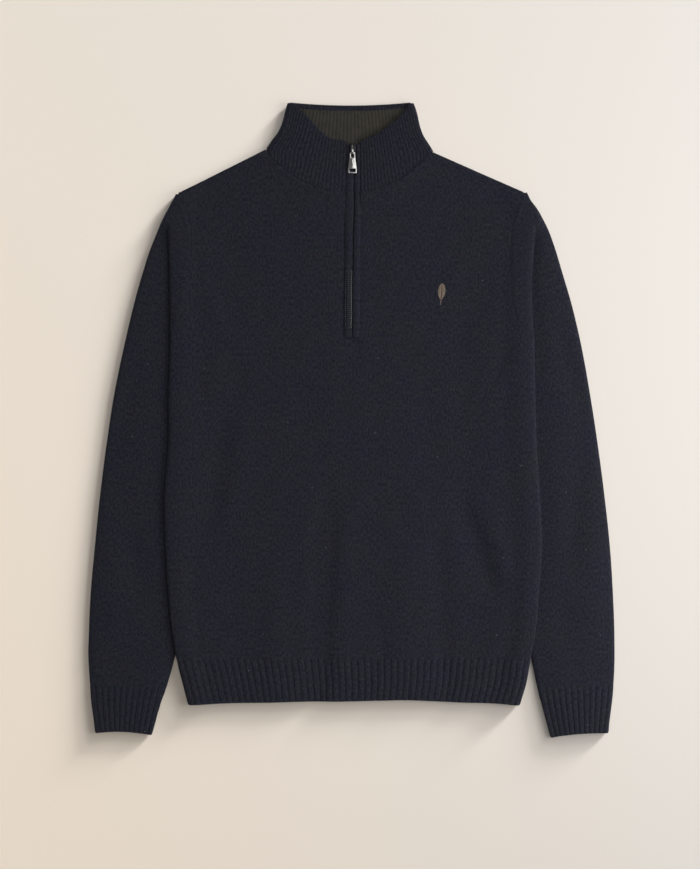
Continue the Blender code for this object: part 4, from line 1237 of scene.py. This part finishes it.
def makeRoll(side, name, node):
    # A strip of knit folded over the tape: below, round the fold by the teeth, and back on top
    outer = zipSizes["slitHalf"] - seamGap
    half = zipLook["rollHalfHeight"]
    rows, maps = [], []
    for y in np.linspace(zipSizes["rollBottom"], zipSizes["rollTop"], zipLook["rollRows"]):
        if side < 0:
            inner = mix(zipLook["leftReach"], outer - 1.9, openShare(y))
        else:
            inner = mix(zipLook["rightReach"], zipLook["rightReachLow"], ease((196 - y) / 12))
        inner = mix(inner, 4.7 - side * 1.2, ease((y - 314) / 10))                # pushed apart by the slider
        flat = 1 - ease((outer - inner) / 4)
        middle = tapeHeight(y) + zipSizes["tapeThick"] / 2 + layerGap + zipSizes["rollThick"] / 2 - 0.5 * flat
        middle -= 0.9 * ease((y - 290) / 16) + 0.7 * ease((114 - y) / 10)
        wave = 0.18 * float(ripple(np.array(0.0), np.array(y), 21 + side, 60, 14, 6))
        wander = float(ripple(np.array(0.0), np.array(y), 27, 120, 45, 4))           # the two edges swing together
        wave += side * 0.5 * wander * ease((y - 196) / 20) * ease((316 - y) / 10)
        edge, centre = inner + 0.2 + wave, (outer + inner) / 2
        path = spline([(outer, -half), (centre, -half), (edge + 0.7, -half * 1.05), (edge, -half * 0.9),
                       (edge, half * 0.5), (edge + 0.7, half * 1.05), (centre, half * 1.5), (outer - 2.2, half * 1.15),
                       (outer + 0.1, half * 0.1)])
        line = spaced(path, zipLook["rollColumns"])
        rows.append(lifted(line + (side * zipCentre(y), middle), y))
        maps.append(mapRow(lengthAlong(line), y))
    points, uv, _ = mirrored(side, np.stack(rows), np.stack(maps))
    piece = laySheet(name, [(points[:, ::-1], uv[:, ::-1], None)], zipLook["rollWall"])
    dress(piece, navyRoll, node)
    print(name, "rolled")


def setPlaces(piece, shape):
    # Moves every point of a mesh, in millimetres
    count = len(piece.data.vertices)
    place = np.zeros(count * 3)
    piece.data.vertices.foreach_get("co", place)
    piece.data.vertices.foreach_set("co", (shape(place.reshape(-1, 3) / mm) * mm).ravel())
    piece.data.update()


def settle(piece):
    onlyActive(piece)
    bpy.ops.object.transform_apply(location=True, rotation=True, scale=True)


def bevelEdges(piece, width, segments=2, degrees=40):
    bevel = piece.modifiers.new("softEdges", "BEVEL")
    bevel.width = width * mm
    bevel.segments = segments
    bevel.limit_method = "ANGLE"
    bevel.angle_limit = math.radians(degrees)
    applyModifiers(piece)
    smooth(piece, 40)


def addCube(name, centre, size):
    clearSelection()
    bpy.ops.mesh.primitive_cube_add(size=1, location=[value * mm for value in centre], scale=[value * mm for value in size])
    piece = bpy.context.object
    piece.name = piece.data.name = name
    settle(piece)
    return piece


def copyAlong(piece, name, places, turns=None, sizes=None):
    # Copies of one small piece, each with its own mesh, joined
    copies = []
    for i, (x, y, z) in enumerate(places):
        copy = piece.copy()
        copy.data = piece.data.copy()
        bpy.context.collection.objects.link(copy)
        copy.location = (x * mm, y * mm, z * mm)
        if turns is not None:
            copy.rotation_euler = [float(value) for value in turns[i]]
        if sizes is not None:
            copy.scale = [float(value) for value in sizes[i]]
        copies.append(copy)
    bpy.data.objects.remove(piece)
    clearSelection()
    for copy in copies:
        copy.select_set(True)
    bpy.context.view_layer.objects.active = copies[0]
    bpy.ops.object.join()
    joined = bpy.context.object
    joined.name = joined.data.name = name
    settle(joined)
    return joined


def makeTeeth(side, name):
    length = zipLook["toothLength"] if side > 0 else zipLook["openToothLength"]
    width, thick, headLength = zipLook["toothWidth"], zipLook["toothThick"], zipLook["headLength"]
    root = addCube("root", (side * headLength / 2, 0, 0), (length - headLength, width, thick * 0.9))
    bevelEdges(root, 0.2, 1, 30)
    tooth = addCube("tooth", (-side * (length - headLength) / 2, 0, 0), (headLength, width * 0.8, thick))

    def shape(p):
        end = p[:, 0] * side < p[:, 0].mean() * side          # the head slopes down to the middle of the zip
        p[:, 2] -= np.where(end & (p[:, 2] > 0), 0.55 * headLength, 0.0)
        return p

    setPlaces(tooth, shape)
    bevelEdges(tooth, 0.1, 1, 30)
    onlyActive(tooth)
    root.select_set(True)
    bpy.ops.object.join()
    places = []
    pitch = zipSizes["toothPitch"]
    lift = zipLook["tapeLift"] if side < 0 else 0.0
    for i in range(int((zipLook["toothTop"] - zipSizes["bottom"] - 4) / pitch)):
        y = zipLook["toothTop"] - pitch * (i + (0.5 if side > 0 else 0.0))
        low = ease((194 - y) / 8)
        x = zipCentre(y) + mix(zipLook["chainShift"], zipLook["chainShiftLow"], low) + side * (length / 2 - 0.2)
        places.append((x, y, tapeHeight(y) + 0.75 + lift * openShare(y)))
    teeth = copyAlong(tooth, name, places)
    smooth(teeth, 35)
    dress(teeth, toothMetal)
    print(name, "set")


makeTape(-1, "zipTapeLeft", "zip_tape_left")
makeTape(1, "zipTapeRight", "zip_tape_right")
makeRoll(-1, "zipRollLeft", "zip_edge_left")
makeRoll(1, "zipRollRight", "zip_edge_right")
makeTeeth(-1, "zipTeethLeft")
makeTeeth(1, "zipTeethRight")


# A plain leaf in satin stitch on the left chest

leaf = {
    "x": 112.8, "y": 145.5, "length": 25.0, "lean": 4.0, "halfWidth": 5.7,
    "stitches": 34, "slant": 34.0, "thread": 0.62, "stalkStitches": 7,
    "light": (0.470, 0.362, 0.280, 1.0), "dark": (0.140, 0.110, 0.087, 1.0),
}


def clothTop(x, y):
    side = 1 if x > 0 else -1
    return float(topHeight(x, y) + panelRelief(side, x, y)) + wall / 2


def threadMaterial():
    material, tree, shader = startMaterial("tanEmbroideryThread", 0.55, specular=0.35)
    place = objectPlace(tree)
    tone = noise(tree, place, 900.0, 3.0)
    tree.links.new(blendColour(tree, ramp(tree, tone, 0.35, 0.65), leaf["dark"], leaf["light"]), shader.inputs["Base Color"])
    addBump(tree, shader, noise(tree, place, 5200.0, 2.0), 0.6, 0.1)
    shader.inputs["Sheen Weight"].default_value = 0.2
    return material


def makeLeaf():
    clearSelection()
    bpy.ops.mesh.primitive_uv_sphere_add(segments=6, ring_count=6, radius=0.5 * mm)
    stitch = bpy.context.object
    random = np.random.default_rng(41)
    lean = math.radians(90 - leaf["lean"])
    places, turns, sizes = [], [], []

    def sew(x0, y0, x1, y1, thick):
        x, y = (x0 + x1) / 2, (y0 + y1) / 2
        turn = math.atan2(y1 - y0, x1 - x0)
        tilt = -math.atan2(clothTop(x1, y1) - clothTop(x0, y0), math.hypot(x1 - x0, y1 - y0))
        places.append((x, y, clothTop(x, y) + 0.05))
        turns.append((0, math.pi / 2 + tilt, turn))
        sizes.append((thick * 0.9, thick, math.hypot(x1 - x0, y1 - y0) + 0.3))

    for i in range(leaf["stitches"]):
        share = (i + 0.5) / leaf["stitches"]
        along = leaf["length"] * (0.16 + 0.80 * share)
        veinX, veinY = leaf["x"] + along * math.cos(lean), leaf["y"] + along * math.sin(lean)
        reach = leaf["halfWidth"] * 2.1 * share ** 0.5 * (1 - share) ** 0.75 * random.uniform(0.94, 1.05) + 0.5
        for side in (1, -1):
            away = lean - side * (math.pi / 2 - math.radians(leaf["slant"]))
            fromX, fromY = veinX + 0.22 * math.cos(away), veinY + 0.22 * math.sin(away)
            sew(fromX, fromY, veinX + reach * math.cos(away), veinY + reach * math.sin(away), leaf["thread"])
    for i in range(leaf["stalkStitches"]):
        x, y = leaf["x"] - 0.5 + 0.12 * i, leaf["y"] - 2.0 + 0.9 * i
        sew(x - 0.55, y - 0.3, x + 0.55, y + 0.3, leaf["thread"])
    piece = copyAlong(stitch, "leafEmbroidery", places, turns, sizes)
    smooth(piece, 80)
    dress(piece, threadMaterial())
    print("leaf sewn")


makeLeaf()


# Slider and tab

pull = {
    "x": 2.3, "pivotY": 333.25, "pivotZ": 11.0, "end": 306.5, "topWidth": 8.0, "endWidth": 12.1,
    "thick": 1.1, "rim": 1.15, "rimRise": 0.5,
    "eye": (-1.6, -6.6, 1.75), "slot": (-20.4, -24.6, 3.8),          # upper and lower end from the pivot, half width
    "domeY": -13.4, "domeHalfLength": 5.6, "domeHalfWidth": 2.6, "domeHeight": 0.75,
    "sliderTop": 8.6, "sliderWidth": 8.8, "sliderLength": 17.4, "bridgeWall": 0.9,
}


def cutHole(piece, x, high, low, reach):
    cutter = addCube("cutter", (x, (high + low) / 2, pull["pivotZ"]), (2 * reach, high - low, 6))
    hole = piece.modifiers.new("hole", "BOOLEAN")
    hole.operation = "DIFFERENCE"
    hole.object = cutter
    applyModifiers(piece)
    bpy.data.objects.remove(cutter)


def selectTop(piece, above):
    # Faces that look up and lie above a height, in millimetres
    onlyActive(piece)
    for face in piece.data.polygons:
        face.select = face.normal.z > 0.9 and face.center.z > above * mm
    editing(True)
    bpy.ops.mesh.select_mode(type="FACE")


def makeTab():
    x, pivotY, pivotZ = pull["x"], pull["pivotY"], pull["pivotZ"]
    outline = [(pull["end"], 0.93), (pull["end"] + 1.0, 1.0), (pivotY - 20, 1.0), (pivotY - 14, 1.0), (pivotY - 8, 1.0),
               (pivotY - 3, 1.0), (pivotY - 0.3, 0.95), (pivotY + 0.5, 0.7)]
    clearSelection()
    bpy.ops.mesh.primitive_grid_add(x_subdivisions=2, y_subdivisions=len(outline) - 1, size=1)
    tab = bpy.context.object

    def shape(p):
        for row, (y, share) in enumerate(outline):
            half = mix(pull["topWidth"], pull["endWidth"], ease((pivotY - y - 4) / 20)) / 2 * share
            p[3 * row:3 * row + 3] = [(x + step * half, y, pivotZ - pull["thick"] / 2) for step in (-1, 0, 1)]
        return p

    setPlaces(tab, shape)
    editAll(tab)
    bpy.ops.mesh.extrude_region_move(TRANSFORM_OT_translate={"value": (0, 0, (pull["thick"] + pull["rimRise"]) * mm)})
    bpy.ops.mesh.select_all(action="SELECT")
    bpy.ops.mesh.normals_make_consistent(inside=False)
    editing(False)
    selectTop(tab, pivotZ)
    bpy.ops.mesh.inset(thickness=pull["rim"] * mm, depth=-pull["rimRise"] * mm)
    editing(False)
    for high, low, reach in (pull["eye"], pull["slot"]):
        cutHole(tab, x, pivotY + high, pivotY + low, reach)
    bevelEdges(tab, 0.2, 2, 35)
    clearSelection()
    bpy.ops.mesh.primitive_uv_sphere_add(segments=24, ring_count=12, radius=1)
    dome = bpy.context.object

    def lozenge(p):
        q = p.copy() * mm
        narrow = 1 - 0.45 * ease(np.abs(q[:, 1]))
        q[:, 0] = x + q[:, 0] * pull["domeHalfWidth"] * narrow
        q[:, 1] = pivotY + pull["domeY"] + q[:, 1] * pull["domeHalfLength"]
        q[:, 2] = pivotZ + pull["thick"] / 2 + np.maximum(q[:, 2], -0.4) * pull["domeHeight"]
        return q

    setPlaces(dome, lozenge)
    smooth(dome, 60)
    for part, name, node in ((tab, "pullTab", "pull_tab"), (dome, "pullTabDome", None)):
        part.name = part.data.name = name
        dress(part, nickel, node, "pull_tab")
    print("tab made")


def makeSlider():
    x, pivotY, pivotZ = pull["x"], pull["pivotY"], pull["pivotZ"]
    base = tapeHeight(pivotY) + zipSizes["tapeThick"] / 2 + layerGap
    top, width, length = pull["sliderTop"], pull["sliderWidth"], pull["sliderLength"]
    slider = addCube("zipSlider", (x, pivotY + 2.5, (base + top) / 2), (width, length, top - base))
    editAll(slider)
    bpy.ops.mesh.subdivide(number_cuts=5)
    editing(False)

    def taper(p):
        along = (p[:, 1] - pivotY + 6.2) / length              # 0 at the lower end, where the chain is closed
        half = mix(0.66, 1.0, ease(along / 0.7)) * (1 - 0.35 * ease((along - 0.85) / 0.15))
        p[:, 0] = x + (p[:, 0] - x) * half
        p[:, 2] -= 0.5 * (p[:, 2] > base + 1) * (2 * (p[:, 0] - x) / width) ** 2
        return p

    setPlaces(slider, taper)
    bevelEdges(slider, 0.35, 2, 50)
    dress(slider, darkNickel, "zip_slider")
    arch = spaced(spline([(pivotY + 9.6, base + 2.2), (pivotY + 9.0, top + 0.6), (pivotY + 6.5, 11.2),
                          (pivotY + 3.6, pivotZ + 2.0), (pivotY + 0.4, pivotZ + 2.5), (pivotY - 2.1, pivotZ + 1.9),
                          (pivotY - 3.0, pivotZ), (pivotY - 3.0, base + 2.2)]), 28)
    across = np.linspace(-1, 1, 5)[None, :]
    half = mix(0.5, 1.35, ease(np.arange(len(arch)) / 14))[:, None] * across
    points, uv, _ = gridPatch(x + half, arch[:, :1], arch[:, 1:] - 0.25 * across ** 2)
    bridge = laySheet("zipBridge", [(points[:, ::-1], uv[:, ::-1], None)], pull["bridgeWall"])
    bevelEdges(bridge, 0.2, 2, 50)
    dress(bridge, nickel)
    print("slider made")


makeTab()
makeSlider()
for piece in list(bpy.context.scene.objects):
    if piece.type == "MESH" and piece.name != "studioFloor":
        clothAlone.objects.link(piece)
print("zip ready")
